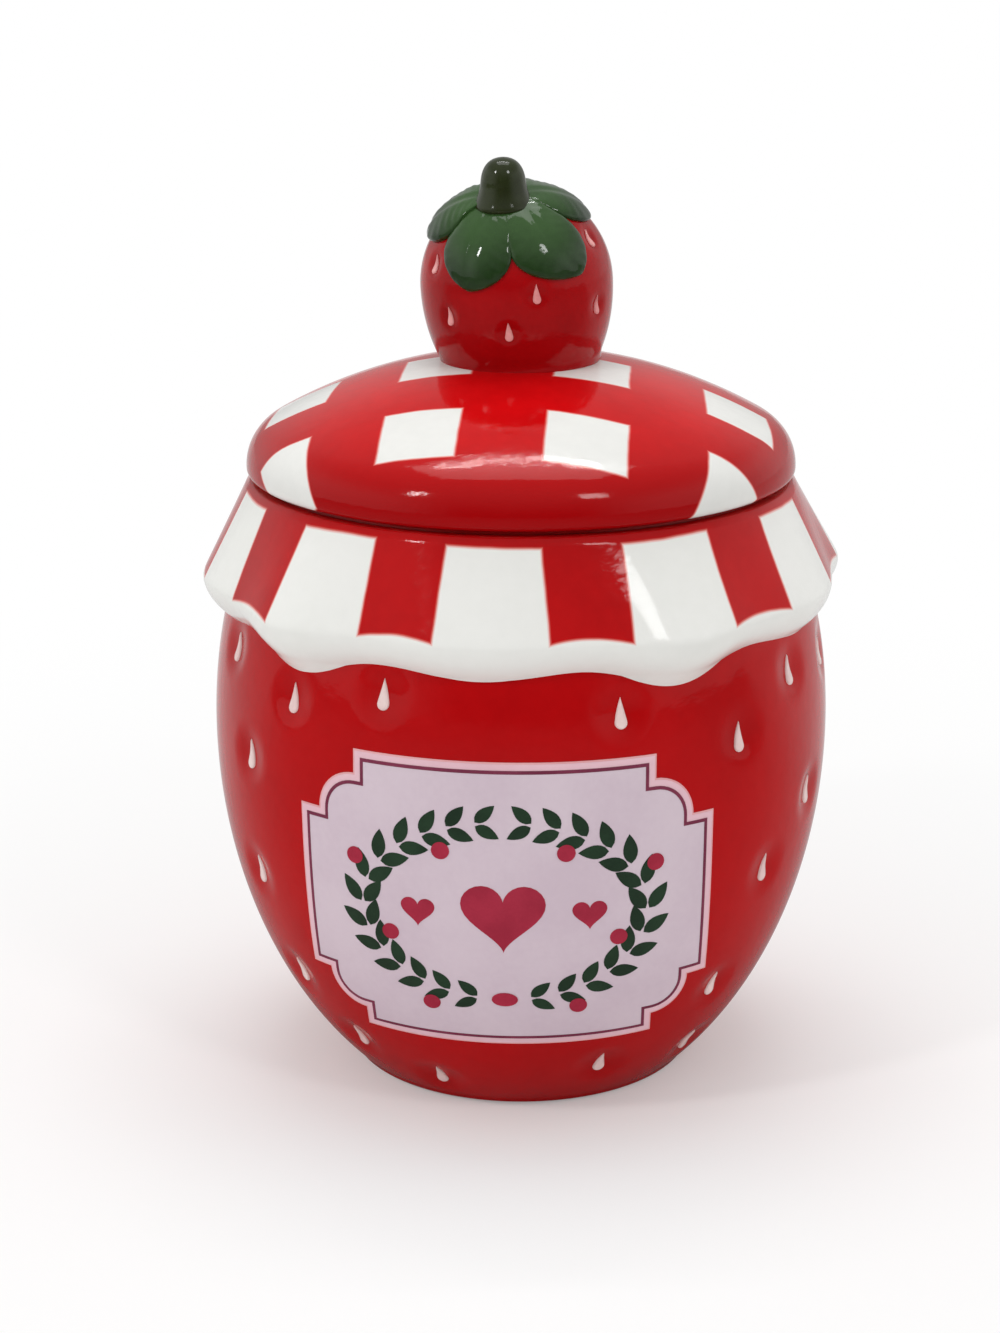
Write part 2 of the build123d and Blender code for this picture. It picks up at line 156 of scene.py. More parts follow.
class Graph:
    """A node tree that is written as formulas."""

    def __init__(self, tree: bpy.types.NodeTree) -> None:
        """Keeps the tree."""
        self.tree = tree

    def node(self, kind: str, **settings: object) -> bpy.types.Node:
        """Adds a node.

        Args:
            kind: The node's type.
            **settings: Properties of the node.

        Returns:
            The node.
        """
        made = self.tree.nodes.new(kind)
        for name, value in settings.items():
            setattr(made, name, value)
        return made

    def feed(self, socket: bpy.types.NodeSocket, value: object) -> None:
        """Links a wire to an input, or sets the input to a plain value."""
        if isinstance(value, Wire):
            self.tree.links.new(value.socket, socket)
        else:
            socket.default_value = value

    def math(self, operation: str, *values: Scalar) -> Wire:
        """Math node.

        Args:
            operation: The node's operation.
            *values: Its inputs.

        Returns:
            The result.
        """
        made = self.node("ShaderNodeMath", operation=operation)
        for socket, value in zip(made.inputs, values):
            self.feed(socket, value)
        return Wire(self, made.outputs[0])

    def split(self, vector: Wire) -> tuple[Wire, Wire, Wire]:
        """The three coordinates of a vector."""
        made = self.node("ShaderNodeSeparateXYZ")
        self.feed(made.inputs[0], vector)
        return tuple(Wire(self, socket) for socket in made.outputs)

    def join(self, x: Scalar, y: Scalar, z: Scalar) -> Wire:
        """A vector of three coordinates."""
        made = self.node("ShaderNodeCombineXYZ")
        for socket, value in zip(made.inputs, (x, y, z)):
            self.feed(socket, value)
        return Wire(self, made.outputs[0])

    def ramp(self, value: Scalar, low: Scalar, high: Scalar) -> Wire:
        """Smooth step.

        Args:
            value: The value to judge.
            low: Where the step starts, at 0.
            high: Where the step ends, at 1.

        Returns:
            A mask from 0 to 1.
        """
        made = self.node("ShaderNodeMapRange", interpolation_type="SMOOTHSTEP")
        for socket, item in zip(made.inputs, (value, low, high, 0.0, 1.0)):
            self.feed(socket, item)
        return Wire(self, made.outputs[0])

    def noise(self, vector: Wire, scale: Scalar, detail: float = 2.0) -> Wire:
        """Noise from 0 to 1.

        Args:
            vector: Where the noise is read.
            scale: Its frequency.
            detail: Its octaves.

        Returns:
            The noise.
        """
        made = self.node("ShaderNodeTexNoise")
        self.feed(made.inputs["Vector"], vector)
        self.feed(made.inputs["Scale"], scale)
        self.feed(made.inputs["Detail"], detail)
        return Wire(self, made.outputs[0])

    def blend(self, share: Scalar, first: object, second: object) -> Wire:
        """Mixes two colours by a share from 0 to 1."""
        made = self.node("ShaderNodeMix", data_type="RGBA")
        for index, value in ((0, share), (6, first), (7, second)):
            self.feed(made.inputs[index], value)
        return Wire(self, made.outputs[2])

    def attribute(self, name: str, kind: str = "FLOAT") -> Wire:
        """A named attribute in a geometry tree."""
        made = self.node("GeometryNodeInputNamedAttribute", data_type=kind)
        made.inputs["Name"].default_value = name
        return Wire(self, made.outputs["Attribute"])

    def read(self, kind: str, output: str) -> Wire:
        """One output of a node that needs no input."""
        return Wire(self, self.node(kind).outputs[output])

    def stored(self, name: str) -> Wire:
        """A vertex number of the mesh, read in a material."""
        made = self.node("ShaderNodeAttribute", attribute_name=name)
        return Wire(self, made.outputs["Fac"])

    def chain(self, kind: str, geometry: Wire, **inputs: object) -> Wire:
        """Adds a geometry node to the line of geometry.

        Args:
            kind: The node's type.
            geometry: What comes in.
            **inputs: Other inputs by name, with _ for a space.

        Returns:
            What goes out.
        """
        made = self.node(kind)
        self.feed(made.inputs[0], geometry)
        for name, value in inputs.items():
            self.feed(made.inputs[name.replace("_", " ")], value)
        return Wire(self, made.outputs[0])

    def group(self, tree: bpy.types.NodeTree, **inputs: object) -> dict[str, Wire]:
        """Places a shader group.

        Args:
            tree: The group's tree.
            **inputs: Its inputs by name, with _ for a space.

        Returns:
            Its outputs by name.
        """
        made = self.node("ShaderNodeGroup", node_tree=tree)
        for name, value in inputs.items():
            self.feed(made.inputs[name.replace("_", " ")], value)
        return {socket.name: Wire(self, socket) for socket in made.outputs}


def open_group(
    name: str, kind: str, inputs: Sequence[tuple[str, str]], outputs: Sequence[tuple[str, str]]
) -> tuple[Graph, dict[str, Wire], bpy.types.Node]:
    """Starts a node group.

    Args:
        name: The group's name.
        kind: ShaderNodeTree or GeometryNodeTree.
        inputs: Names and socket types of the inputs.
        outputs: Names and socket types of the outputs.

    Returns:
        The graph, its inputs by name, and its output node.
    """
    tree = bpy.data.node_groups.new(name, kind)
    for label, socket in inputs:
        tree.interface.new_socket(name=label, in_out="INPUT", socket_type=socket)
    for label, socket in outputs:
        tree.interface.new_socket(name=label, in_out="OUTPUT", socket_type=socket)
    graph = Graph(tree)
    source = graph.node("NodeGroupInput")
    target = graph.node("NodeGroupOutput")
    wires = {label: Wire(graph, source.outputs[label]) for label, _ in inputs}
    return graph, wires, target


def close_group(g: Graph, target: bpy.types.Node, line: Wire, finish: Wire) -> bpy.types.NodeTree:
    """Ends a geometry tree in plain geometry with a material.

    Args:
        g: The tree's graph.
        target: Its output node.
        line: The geometry so far.
        finish: The material.

    Returns:
        The tree.
    """
    line = g.chain("GeometryNodeRealizeInstances", line)
    line = g.chain("GeometryNodeSetMaterial", line, Material=finish)
    g.feed(target.inputs[0], line)
    return g.tree


FLOAT = "NodeSocketFloat"
VECTOR = "NodeSocketVector"
GEOMETRY = "NodeSocketGeometry"
OBJECT = "NodeSocketObject"
MATERIAL = "NodeSocketMaterial"

PRINT_EDGE = math.radians(40)  # a slab's faces stay sharp past this
RIM_EDGE = math.radians(50)  # so do those of the lid and its seal


def turn_outwards(mesh: bpy.types.Mesh, weld: float = 0.0) -> None:
    """Turns a mesh's faces outwards and smooths them.

    Args:
        mesh: The mesh.
        weld: Distance in metres within which vertices become one first; 0 for none.
    """
    work = bmesh.new()
    work.from_mesh(mesh)
    if weld:
        bmesh.ops.remove_doubles(work, verts=work.verts, dist=weld)
        bmesh.ops.dissolve_degenerate(work, edges=work.edges, dist=weld / 2)
    bmesh.ops.recalc_face_normals(work, faces=work.faces)
    work.to_mesh(mesh)
    work.free()
    mesh.polygons.foreach_set("use_smooth", [True] * len(mesh.polygons))


def in_metres(place: Matrix) -> Matrix:
    """A placement in millimetres, made fit for meshes in metres."""
    return Matrix.Scale(MM, 4) @ place @ Matrix.Scale(1 / MM, 4)


def own_mesh(
    name: str, points: Sequence[Sequence[float]], faces: Sequence[Sequence[int]]
) -> bpy.types.Mesh:
    """Smooth closed mesh with its faces turned outwards.

    Args:
        name: The mesh's name.
        points: Vertices in millimetres.
        faces: Vertex indices of each face.

    Returns:
        The mesh in metres.
    """
    mesh = bpy.data.meshes.new(name)
    mesh.from_pydata([tuple(c * MM for c in p) for p in points], [], faces)
    turn_outwards(mesh)
    return mesh


def spread(mesh: bpy.types.Mesh, name: str, values: Iterable[float]) -> None:
    """Stores one number for each vertex of a mesh."""
    layer = mesh.attributes.new(name, "FLOAT", "POINT")
    layer.data.foreach_set("value", list(values))


def show(name: str, mesh: bpy.types.Mesh, *finishes: bpy.types.Material) -> bpy.types.Object:
    """Object of a mesh at the origin, with its materials."""
    thing = bpy.data.objects.new(name, mesh)
    bpy.context.scene.collection.objects.link(thing)
    for finish in finishes:
        mesh.materials.append(finish)
    return thing


def settle(piece: bpy.types.Object, body: Body, slot: Slot, *nodes: str) -> None:
    """Rides a finished piece on its body, in place of CAD nodes."""
    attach(piece, body.value)
    if nodes:
        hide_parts(*nodes)
    LOG.info("%s on %s, %d faces", piece.name, body.value, len(piece.data.polygons))


def grown(piece: bpy.types.Object, tree: bpy.types.NodeTree, **inputs: object) -> bpy.types.Object:
    """Runs a geometry tree on an object and keeps the result as a plain mesh.

    Args:
        piece: The object with the starting mesh.
        tree: The geometry tree.
        **inputs: The tree's inputs by name, with _ for a space.

    Returns:
        The same object with its new mesh.
    """
    modifier = piece.modifiers.new("grow", "NODES")
    modifier.node_group = tree
    items = tree.interface.items_tree
    sockets = {item.name: item.identifier for item in items if item.in_out == "INPUT"}
    for name, value in inputs.items():
        modifier[sockets[name.replace("_", " ")]] = value
    bpy.context.view_layer.update()
    graph = bpy.context.evaluated_depsgraph_get()
    mesh = bpy.data.meshes.new_from_object(piece.evaluated_get(graph), depsgraph=graph)
    piece.modifiers.clear()
    start = piece.data
    piece.data = mesh
    bpy.data.meshes.remove(start)
    mesh.name = piece.name
    return piece


def arc(centre: Point, radius: float, start: float, end: float, steps: int) -> list[Point]:
    """Points along an arc of a section.

    Args:
        centre: Middle of the arc.
        radius: Its radius.
        start: First angle in degrees from the outward direction.
        end: Last angle in degrees.
        steps: Number of spans.

    Returns:
        The points, both ends included.
    """
    angles = [math.radians(start + (end - start) * i / steps) for i in range(steps + 1)]
    return [(centre[0] + radius * math.cos(a), centre[1] + radius * math.sin(a)) for a in angles]


def oval(z: float, wide: float, tall: float, angles: Iterable[float]) -> list[Point]:
    """Points of an ellipse about the axis, at angles in radians."""
    return [(wide * math.cos(a), z + tall * math.sin(a)) for a in angles]


def ellipse(wide: float, tall: float, count: int) -> list[Point]:
    """Flat ellipse about the origin, in equal steps."""
    angles = [2 * math.pi * i / count for i in range(count)]
    return [(wide * math.cos(a), tall * math.sin(a)) for a in angles]


def band(low: int, high: int, count: int) -> list[tuple[int, ...]]:
    """Faces between two closed rings of vertices, each ring given by its first index."""
    ahead = [(i + 1) % count for i in range(count)]
    return [(low + i, low + j, high + j, high + i) for i, j in enumerate(ahead)]


def smoothed(rows: list[tuple[float, ...]], times: int) -> list[tuple[float, ...]]:
    """Rows of numbers drawn towards their neighbours, with the first and the last kept.

    Args:
        rows: The rows.
        times: How often they are drawn.

    Returns:
        As many rows.
    """
    for _ in range(times):
        inner = [
            tuple((a + 2 * b + c) / 4 for a, b, c in zip(*three))
            for three in zip(rows, rows[1:], rows[2:])
        ]
        rows = [rows[0], *inner, rows[-1]]
    return rows


@dataclass
class Section:
    """Outline of a turned piece: radius, height and zone of each point."""

    rows: list[tuple[float, float, Part]] = field(default_factory=list)

    def add(self, points: Iterable[Point], zone: Part) -> None:
        """Carries the outline on through some points."""
        self.rows += [(r, z, zone) for r, z in points]

    def turned(
        self, name: str, segments: int, press: Callable[[float, float, float], float],
        closed: bool = False,
    ) -> bpy.types.Mesh:
        """Turns the outline about the axis.

        Args:
            name: The mesh's name.
            segments: Number of steps round the axis.
            press: Depth of the surface's dimples at a point, in millimetres.
            closed: Whether the outline's end joins its start.

        Returns:
            The mesh, with an attribute dimple and a material index for each zone.
        """
        points: list[Triple] = []
        rings: list[list[int]] = []
        depths: list[float] = []
        for index, (r, z, zone) in enumerate(self.rows):
            if r < ON_AXIS:
                rings.append([len(points)] * segments)
                points.append((0.0, 0.0, z))
                depths.append(0.0)
                continue
            before = self.rows[max(index - 1, 0)]
            after = self.rows[min(index + 1, len(self.rows) - 1)]
            run = math.hypot(after[0] - before[0], after[1] - before[1]) or 1.0
            out_r = (after[1] - before[1]) / run
            out_z = (before[0] - after[0]) / run
            rings.append(list(range(len(points), len(points) + segments)))
            for step in range(segments):
                a = 2 * math.pi * step / segments
                s, c = math.sin(a), -math.cos(a)
                depth = press(r * s, r * c, z) if zone is Part.OUTSIDE else 0.0
                rr = r - depth * out_r
                points.append((rr * s, rr * c, z - depth * out_z))
                depths.append(depth)
        faces: list[tuple[int, ...]] = []
        zones: list[int] = []
        spans = [(low, low + 1) for low in range(len(rings) - 1)]
        if closed:
            spans.append((len(rings) - 1, 0))
        for low, high in spans:
            for step in range(segments):
                turn = (step + 1) % segments
                loop = (rings[low][step], rings[low][turn], rings[high][turn], rings[high][step])
                faces.append(tuple(dict.fromkeys(loop)))
                zones.append(self.rows[high][2].value)
        mesh = own_mesh(name, points, faces)
        spread(mesh, "dimple", depths)
        mesh.polygons.foreach_set("material_index", zones)
        return mesh


def no_dimples(x: float, y: float, z: float) -> float:
    """Depth on a plain surface."""
    return 0.0


DROP_STEPS = 12  # spans round a seed's blunt end
DROP_FLANK = (0.4, 0.75, 0.94)  # points of each flank, as shares of the way to the tip
DROP_SWELL = 0.25  # how much the flanks swell
DROP_RINGS = (  # size and lift of each ring from the underside to the top
    (1.0, -0.8), (1.0, 0.0), (0.93, 0.45), (0.78, 0.75), (0.5, 0.94), (0.22, 1.0),
)


@dataclass
class Drops:
    """Drop-shaped seeds in soft dimples on a turned wall."""

    length: float
    width: float
    thickness: float
    dimple_r: float
    dimple_depth: float
    places: list[Place]

    def depth(self, d: float) -> float:
        """Depth of a dimple at a distance from its middle."""
        share = min(d / self.dimple_r, 1.0)
        return self.dimple_depth * (1 - share**2) ** 2

    def press(self, x: float, y: float, z: float) -> float:
        """Depth of the dimples at a point of the wall."""
        total = 0.0
        for place, _, _ in self.places:
            dz = z - place.z
            if abs(dz) > self.dimple_r:
                continue
            gap = math.sqrt((x - place.x) ** 2 + (y - place.y) ** 2 + dz**2)
            if gap < self.dimple_r:
                total = max(total, self.depth(gap))
        return total

    def drop(self) -> bpy.types.Object:
        """One seed, point along +X and domed along +Z, bent to the dimple's floor."""
        half = self.width / 2
        round_x = half - self.length / 2
        reach = self.length / 2 - round_x
        lean = math.acos(half / reach)
        rim: list[Point] = []
        for i in range(DROP_STEPS + 1):
            a = lean + (2 * math.pi - 2 * lean) * i / DROP_STEPS
            rim.append((round_x + half * math.cos(a), half * math.sin(a)))
        tip = self.length / 2
        end_x, end_y = rim[-1]
        flank = [
            (end_x + (tip - end_x) * share, end_y * (1 - share) * (1 + DROP_SWELL * share))
            for share in DROP_FLANK
        ]
        rim += flank + [(tip, 0.0)] + [(x, -y) for x, y in reversed(flank)]
        points: list[Triple] = []
        for scale, lift in DROP_RINGS:
            for x, y in rim:
                px, py = round_x + (x - round_x) * scale, y * scale
                floor = self.dimple_depth - self.depth(math.hypot(px, py))
                points.append((px, py, floor + self.thickness * lift))
        count = len(rim)
        last = (len(DROP_RINGS) - 1) * count
        faces: list[tuple[int, ...]] = []
        for low in range(0, last, count):
            faces += band(low, low + count, count)
        faces.append(tuple(range(count)))
        faces.append(tuple(range(last, last + count)))
        return show("drop", own_mesh("drop", points, faces))

    def scatter(
        self, name: str, finish: bpy.types.Material, tree: bpy.types.NodeTree
    ) -> bpy.types.Object:
        """Lays a seed in each dimple.

        Args:
            name: The piece's name.
            finish: The seeds' glaze.
            tree: The geometry tree that places them.

        Returns:
            The piece.
        """
        mesh = bpy.data.meshes.new(name)
        mesh.from_pydata([place * MM for place, _, _ in self.places], [], [])
        for label, index in (("out", 1), ("up", 2)):
            layer = mesh.attributes.new(label, "FLOAT_VECTOR", "POINT")
            layer.data.foreach_set("vector", [c for item in self.places for c in item[index]])
        drop = self.drop()
        sink = -self.dimple_depth * MM
        piece = grown(show(name, mesh), tree, Seed=drop, Sink=sink, Finish=finish)
        bpy.data.objects.remove(drop)
        return piece


def scatter_tree() -> bpy.types.NodeTree:
    """Geometry tree that stands a seed on each point, along the point's own directions."""
    g, given, target = open_group(
        "seeds_in_dimples", "GeometryNodeTree",
        [("Geometry", GEOMETRY), ("Seed", OBJECT), ("Sink", FLOAT), ("Finish", MATERIAL)],
        [("Geometry", GEOMETRY)],
    )
    turn = g.node("FunctionNodeAxesToRotation", primary_axis="Z", secondary_axis="X")
    g.feed(turn.inputs[0], g.attribute("out", "FLOAT_VECTOR"))
    g.feed(turn.inputs[1], g.attribute("up", "FLOAT_VECTOR"))
    info = g.node("GeometryNodeObjectInfo")
    g.feed(info.inputs["Object"], given["Seed"])
    lower = g.node("GeometryNodeTransform")
    g.feed(lower.inputs["Geometry"], Wire(g, info.outputs["Geometry"]))
    g.feed(lower.inputs["Translation"], g.join(0.0, 0.0, given["Sink"]))
    line = g.chain(
        "GeometryNodeInstanceOnPoints", given["Geometry"],
        Instance=Wire(g, lower.outputs[0]), Rotation=Wire(g, turn.outputs[0]),
    )
    return close_group(g, target, line, given["Finish"])


@dataclass
class Pot:
    """Egg-shaped hollow pot on a foot ring, with its seeds."""

    belly_r: float = 57.3
    belly_z: float = 66.0
    foot_r: float = 31.4
    neck_r: float = 47.5
    shoulder_z: float = 108.6
    seat_z: float = 113.2
    mouth_r: float = 43.5
    wall: float = 4.5
    floor_t: float = 5.0
    floor_round: float = 4.0
    recess_r: float = 25.4
    recess: float = 1.5
    recess_round: float = 0.8
    foot_round: float = 1.2
    foot_bevel: float = 0.15
    bare_edge: float = 3.0
    foot_curve: tuple[Point, ...] = ((-1.1, 0.0), (-0.35, 0.2))
    foot_lead: Point = (-0.2, 0.65)
    neck_h: float = 2.5
    rim_round: float = 0.9
    floor_share: float = 0.9
    floor_curve: tuple[Point, ...] = ((0.5, 0.5), (1.4, 0.24), (2.7, 0.07), (4.2, 0.0))
    seed_size: Triple = (5.6, 2.3, 0.5)
    dimple: Point = (6.3, 0.9)
    wall_steps: tuple[int, int, int, int] = (66, 44, 24, 30)
    segments: int = 400
    side_seeds: tuple[Point, ...] = (
        (-67.5, 19.1), (-45.1, 15.2), (-25.1, 19.1), (17.7, 16.7), (42.1, 8.9), (59.0, 17.0),
        (79.6, 15.1), (-57.9, 1.8), (66.9, -7.7), (-59.7, -21.2), (51.9, -18.4), (-56.7, -41.5),
        (46.0, -41.3), (-45.7, -53.7), (52.4, -56.9), (-23.3, -59.1), (20.8, -54.9),
    )
    back_seeds: tuple[Point, ...] = (
        (162.0, 2.0), (199.0, 4.5), (180.0, -9.0), (158.0, -22.5), (203.0, -20.5), (182.0, -32.0),
        (164.0, -41.0), (201.0, -40.0),
    )

    @property
    def low_semi(self) -> float:
        """Half height of the ellipse below the belt."""
        return self.belly_z / math.sqrt(1 - (self.foot_r / self.belly_r) ** 2)

    @property
    def up_semi(self) -> float:
        """Half height of the ellipse above the belt."""
        return (self.shoulder_z - self.belly_z) / math.sqrt(1 - (self.neck_r / self.belly_r) ** 2)

    def radius(self, z: float) -> float:
        """Outside radius at a height below the neck."""
        semi = self.low_semi if z < self.belly_z else self.up_semi
        return self.belly_r * math.sqrt(1 - ((z - self.belly_z) / semi) ** 2)

    def drops(self) -> Drops:
        """The seeds, with the place and directions of each."""
        behind = tuple((azimuth + 180, rise) for azimuth, rise in self.side_seeds)
        seeds = self.side_seeds + behind + self.back_seeds
        belt, semis = (self.belly_r, self.belly_z), (self.low_semi, self.up_semi)
        places = [wall_place(belt, semis, *seed) for seed in seeds]
        return Drops(*self.seed_size, *self.dimple, places)

    def section(self) -> Section:
        """Outline from under the foot, up the outside and down the inside."""
        made = Section()
        out_low, out_high, in_high, in_low = self.wall_steps
        made.add([(0.0, self.recess), (self.recess_r * 0.5, self.recess)], Part.BARE)
        soft, bevel = self.recess_round, self.foot_bevel
        made.add(arc((self.recess_r - soft, self.recess - soft), soft, 90, 0, 4), Part.BARE)
        made.add([(self.recess_r, bevel), (self.recess_r + bevel, 0.0)], Part.BARE)
        made.add([(self.foot_r - self.bare_edge, 0.0)], Part.BARE)
        low = -math.asin((self.belly_z - self.foot_round) / self.low_semi)
        lead, lead_z = self.foot_lead
        made.add([(self.foot_r + dx, z) for dx, z in self.foot_curve], Part.OUTSIDE)
        made.add([(self.radius(self.foot_round) + lead, lead_z)], Part.OUTSIDE)
        angles = [low - low * i / out_low for i in range(out_low)]
        made.add(oval(self.belly_z, self.belly_r, self.low_semi, angles), Part.OUTSIDE)
        high = math.asin((self.shoulder_z - self.belly_z) / self.up_semi)
        angles = [high * i / out_high for i in range(out_high + 1)]
        made.add(oval(self.belly_z, self.belly_r, self.up_semi, angles), Part.OUTSIDE)
        rim = self.rim_round
        made.add([(self.neck_r, self.seat_z - self.neck_h)], Part.OUTSIDE)
        made.add(arc((self.neck_r - rim, self.seat_z - rim), rim, 0, 90, 5), Part.OUTSIDE)
        made.add(arc((self.mouth_r + rim, self.seat_z - rim), rim, 90, 180, 5), Part.INSIDE)
        inner_r = self.belly_r - self.wall
        up = self.up_semi - self.wall
        down = self.low_semi - self.wall
        top = math.acos(self.mouth_r / inner_r)
        angles = [top - top * i / in_high for i in range(in_high)]
        made.add(oval(self.belly_z, inner_r, up, angles), Part.INSIDE)
        rise = self.floor_round * self.floor_share
        base = math.asin((self.belly_z - self.floor_t - rise) / down)
        angles = [-base * i / in_low for i in range(in_low + 1)]
        made.add(oval(self.belly_z, inner_r, down, angles), Part.INSIDE)
        end = inner_r * math.cos(base)
        curve = [(end - dx, self.floor_t + rise * dz) for dx, dz in self.floor_curve]
        made.add(curve, Part.INSIDE)
        made.add([(end * 0.5, self.floor_t), (0.0, self.floor_t)], Part.INSIDE)
        return made

    def build(self, finishes: dict[str, bpy.types.Material], tree: bpy.types.NodeTree) -> None:
        """Makes the pot and its seeds and sets them on the pot's body.

        Args:
            finishes: The finishes by name.
            tree: The geometry tree that places seeds.
        """
        drops = self.drops()
        mesh = self.section().turned("jar_wall", self.segments, drops.press)
        wall = show("jar_wall", mesh, finishes["pot"], finishes["inside"], finishes["bare"])
        settle(wall, Body.POT, Slot.POT, "jar_body")
        settle(drops.scatter("jar_drops", finishes["seed"], tree), Body.POT, Slot.SEED, "jar_seeds")


def wall_place(belt: Point, semis: Point, azimuth: float, rise: float) -> Place:
    """Place on an egg-shaped wall.

    Args:
        belt: Radius and height of the wall's widest ring.
        semis: Half heights of the ellipses below and above it.
        azimuth: Degrees from the front.
        rise: Height above the widest ring.

    Returns:
        The point, the direction outwards and the direction up the wall.
    """
    widest, z = belt
    semi = semis[0] if rise < 0 else semis[1]
    radius = widest * math.sqrt(1 - (rise / semi) ** 2)
    slope = -((widest / semi) ** 2) * rise / radius
    a = math.radians(azimuth)
    out = Vector((math.sin(a), -math.cos(a), 0.0))
    normal = (out - Vector((0, 0, slope))).normalized()
    up = (out * slope + Vector((0, 0, 1))).normalized()
    return out * radius + Vector((0, 0, z + rise)), normal, up


@dataclass
class Frill:
    """Thick ruffle round the neck, deep and shallow folds by turns."""

    pot: Pot
    top_z: float = 112.3
    top_r: float = 50.0
    ridge_z: float = 95.3
    flare: float = 5.8
    bevel: float = 0.7
    hem_h: float = 6.4
    hem_swing: float = 0.7
    fold_depth: float = 1.3
    pairs: float = 5.0
    fullness: float = 0.75
    uneven: float = 0.35
    offset: float = 0.45
    crest: float = 28.5
    bed: float = 1.2
    neck_lap: float = 0.6
    fall: float = 1.0
    smoothing: int = 4
    back_foot: float = 1.5
    back_top: float = 3.0
    wall_steps: int = 40
    hem_steps: int = 20
    tuck_steps: int = 10
    back_steps: int = 12
    segments: int = 600

    def rows(self) -> list[Triple]:
        """Radius, height and swing of each ring, from the neck over the ridge and under the hem."""
        ridge_r = self.pot.radius(self.ridge_z) + self.flare
        hem_z = self.ridge_z - self.hem_h
        hem_r = self.pot.radius(hem_z)
        neck_r = self.pot.neck_r
        rows = [(r, self.top_z, 0.0) for r in (neck_r - self.bed, neck_r + self.neck_lap)]
        corner = (self.top_r - self.bevel, self.top_z - self.bevel)
        rows += [(r, z, 0.0) for r, z in arc(corner, self.bevel, 90, 30, 5)]
        outer: list[Triple] = []
        for i in range(self.wall_steps + 1):
            share = i / self.wall_steps
            z = self.top_z - self.fall + (self.ridge_z - self.top_z + self.fall) * share
            slope = (self.top_z - z) / (self.top_z - self.ridge_z)
            outer.append((self.top_r + (ridge_r - self.top_r) * slope, z, self.fold_depth * slope))
        for i in range(1, self.hem_steps + 1):
            share = i / self.hem_steps
            r = hem_r + (ridge_r - hem_r) * (1 - share**2)
            swing = self.fold_depth * (1 + self.hem_swing * share)
            outer.append((r, self.ridge_z - self.hem_h * share, swing))
        rows += smoothed(outer, self.smoothing)
        tuck_z = hem_z - self.hem_h
        tuck_r = self.pot.radius(tuck_z) - self.flare
        for i in range(1, self.tuck_steps - 1):
            share = i / self.tuck_steps
            swing = self.fold_depth * (1 + self.hem_swing * (1 - share))
            rows.append((hem_r + (tuck_r - hem_r) * share, hem_z + (tuck_z - hem_z) * share, swing))
        for i in range(1, self.back_steps + 1):
            span = self.top_z - self.back_top - tuck_z - self.back_foot
            z = tuck_z + self.back_foot + span * i / self.back_steps
            wall = self.pot.radius(min(z, self.pot.shoulder_z))
            rows.append((wall - self.bed, z, 0.0))
        return rows

    def build(self, finish: bpy.types.Material, tree: bpy.types.NodeTree) -> None:
        """Turns the plain ring, folds it with the geometry tree and sets it on the pot's body."""
        rows = self.rows()
        made = Section()
        made.add([(r, z) for r, z, _ in rows], Part.OUTSIDE)
        mesh = made.turned("frill_ruffle", self.segments, no_dimples, closed=True)
        spread(mesh, "swing", [swing * MM for _, _, swing in rows for _ in range(self.segments)])
        beds = [(self.pot.radius(min(z, self.pot.shoulder_z)) - self.bed) * MM for _, z, _ in rows]
        spread(mesh, "bed", [bed for bed in beds for _ in range(self.segments)])
        piece = grown(
            show("frill_ruffle", mesh), tree, Fold_pairs=self.pairs, Fullness=self.fullness,
            Uneven=self.uneven, Offset=self.offset, Crest=math.radians(self.crest), Finish=finish,
        )
        settle(piece, Body.POT, Slot.FRILL, "frill_collar")


def fold_tree() -> bpy.types.NodeTree:
    """Geometry tree that swings a ring in and out in folds, and keeps it on the wall."""
    g, given, target = open_group(
        "ruffle_folds", "GeometryNodeTree",
        [("Geometry", GEOMETRY)]
        + [(name, FLOAT) for name in ("Fold pairs", "Fullness", "Uneven", "Offset", "Crest")]
        + [("Finish", MATERIAL)],
        [("Geometry", GEOMETRY)],
    )
    x, y, z = g.split(g.read("GeometryNodeInputPosition", "Position"))
    azimuth = g.math("ARCTAN2", x, y * -1.0)
    turn = (azimuth - given["Crest"]) * given["Fold pairs"]
    pair = g.math("COSINE", turn)
    wave = g.math("COSINE", turn * 2.0) * (given["Uneven"] * pair + 1.0)
    fold = given["Fullness"] * (wave + given["Offset"] * pair)
    radius = g.math("SQRT", x * x + y * y)
    swung = g.math("MAXIMUM", radius + g.attribute("swing") * fold, g.attribute("bed"))
    place = g.join(swung * g.math("SINE", azimuth), swung * g.math("COSINE", azimuth) * -1.0, z)
    line = g.chain("GeometryNodeSetPosition", given["Geometry"], Position=place)
    return close_group(g, target, line, given["Finish"])


def slab(
    name: str, points: Sequence[Point], faces: Sequence[Sequence[int]], low: float, high: float
) -> bpy.types.Mesh:
    """Thin closed slab of a flat shape.

    Args:
        name: The mesh's name.
        points: Flat vertices in millimetres.
        faces: Vertex indices of each face.
        low: Height of the under side.
        high: Height of the upper side.

    Returns:
        The mesh in metres.
    """
    count = len(points)
    solid = [(x, y, high) for x, y in points] + [(x, y, low) for x, y in points]
    loops = [tuple(face) for face in faces]
    loops += [tuple(i + count for i in reversed(face)) for face in faces]
    rings = [zip(face, tuple(face[1:]) + (face[0],)) for face in faces]
    edges = dict.fromkeys(itertools.chain.from_iterable(rings))
    loops += [(b, a, a + count, b + count) for a, b in edges if (b, a) not in edges]
    mesh = own_mesh(name, solid, loops)
    mesh.set_sharp_from_angle(angle=PRINT_EDGE)
    return mesh


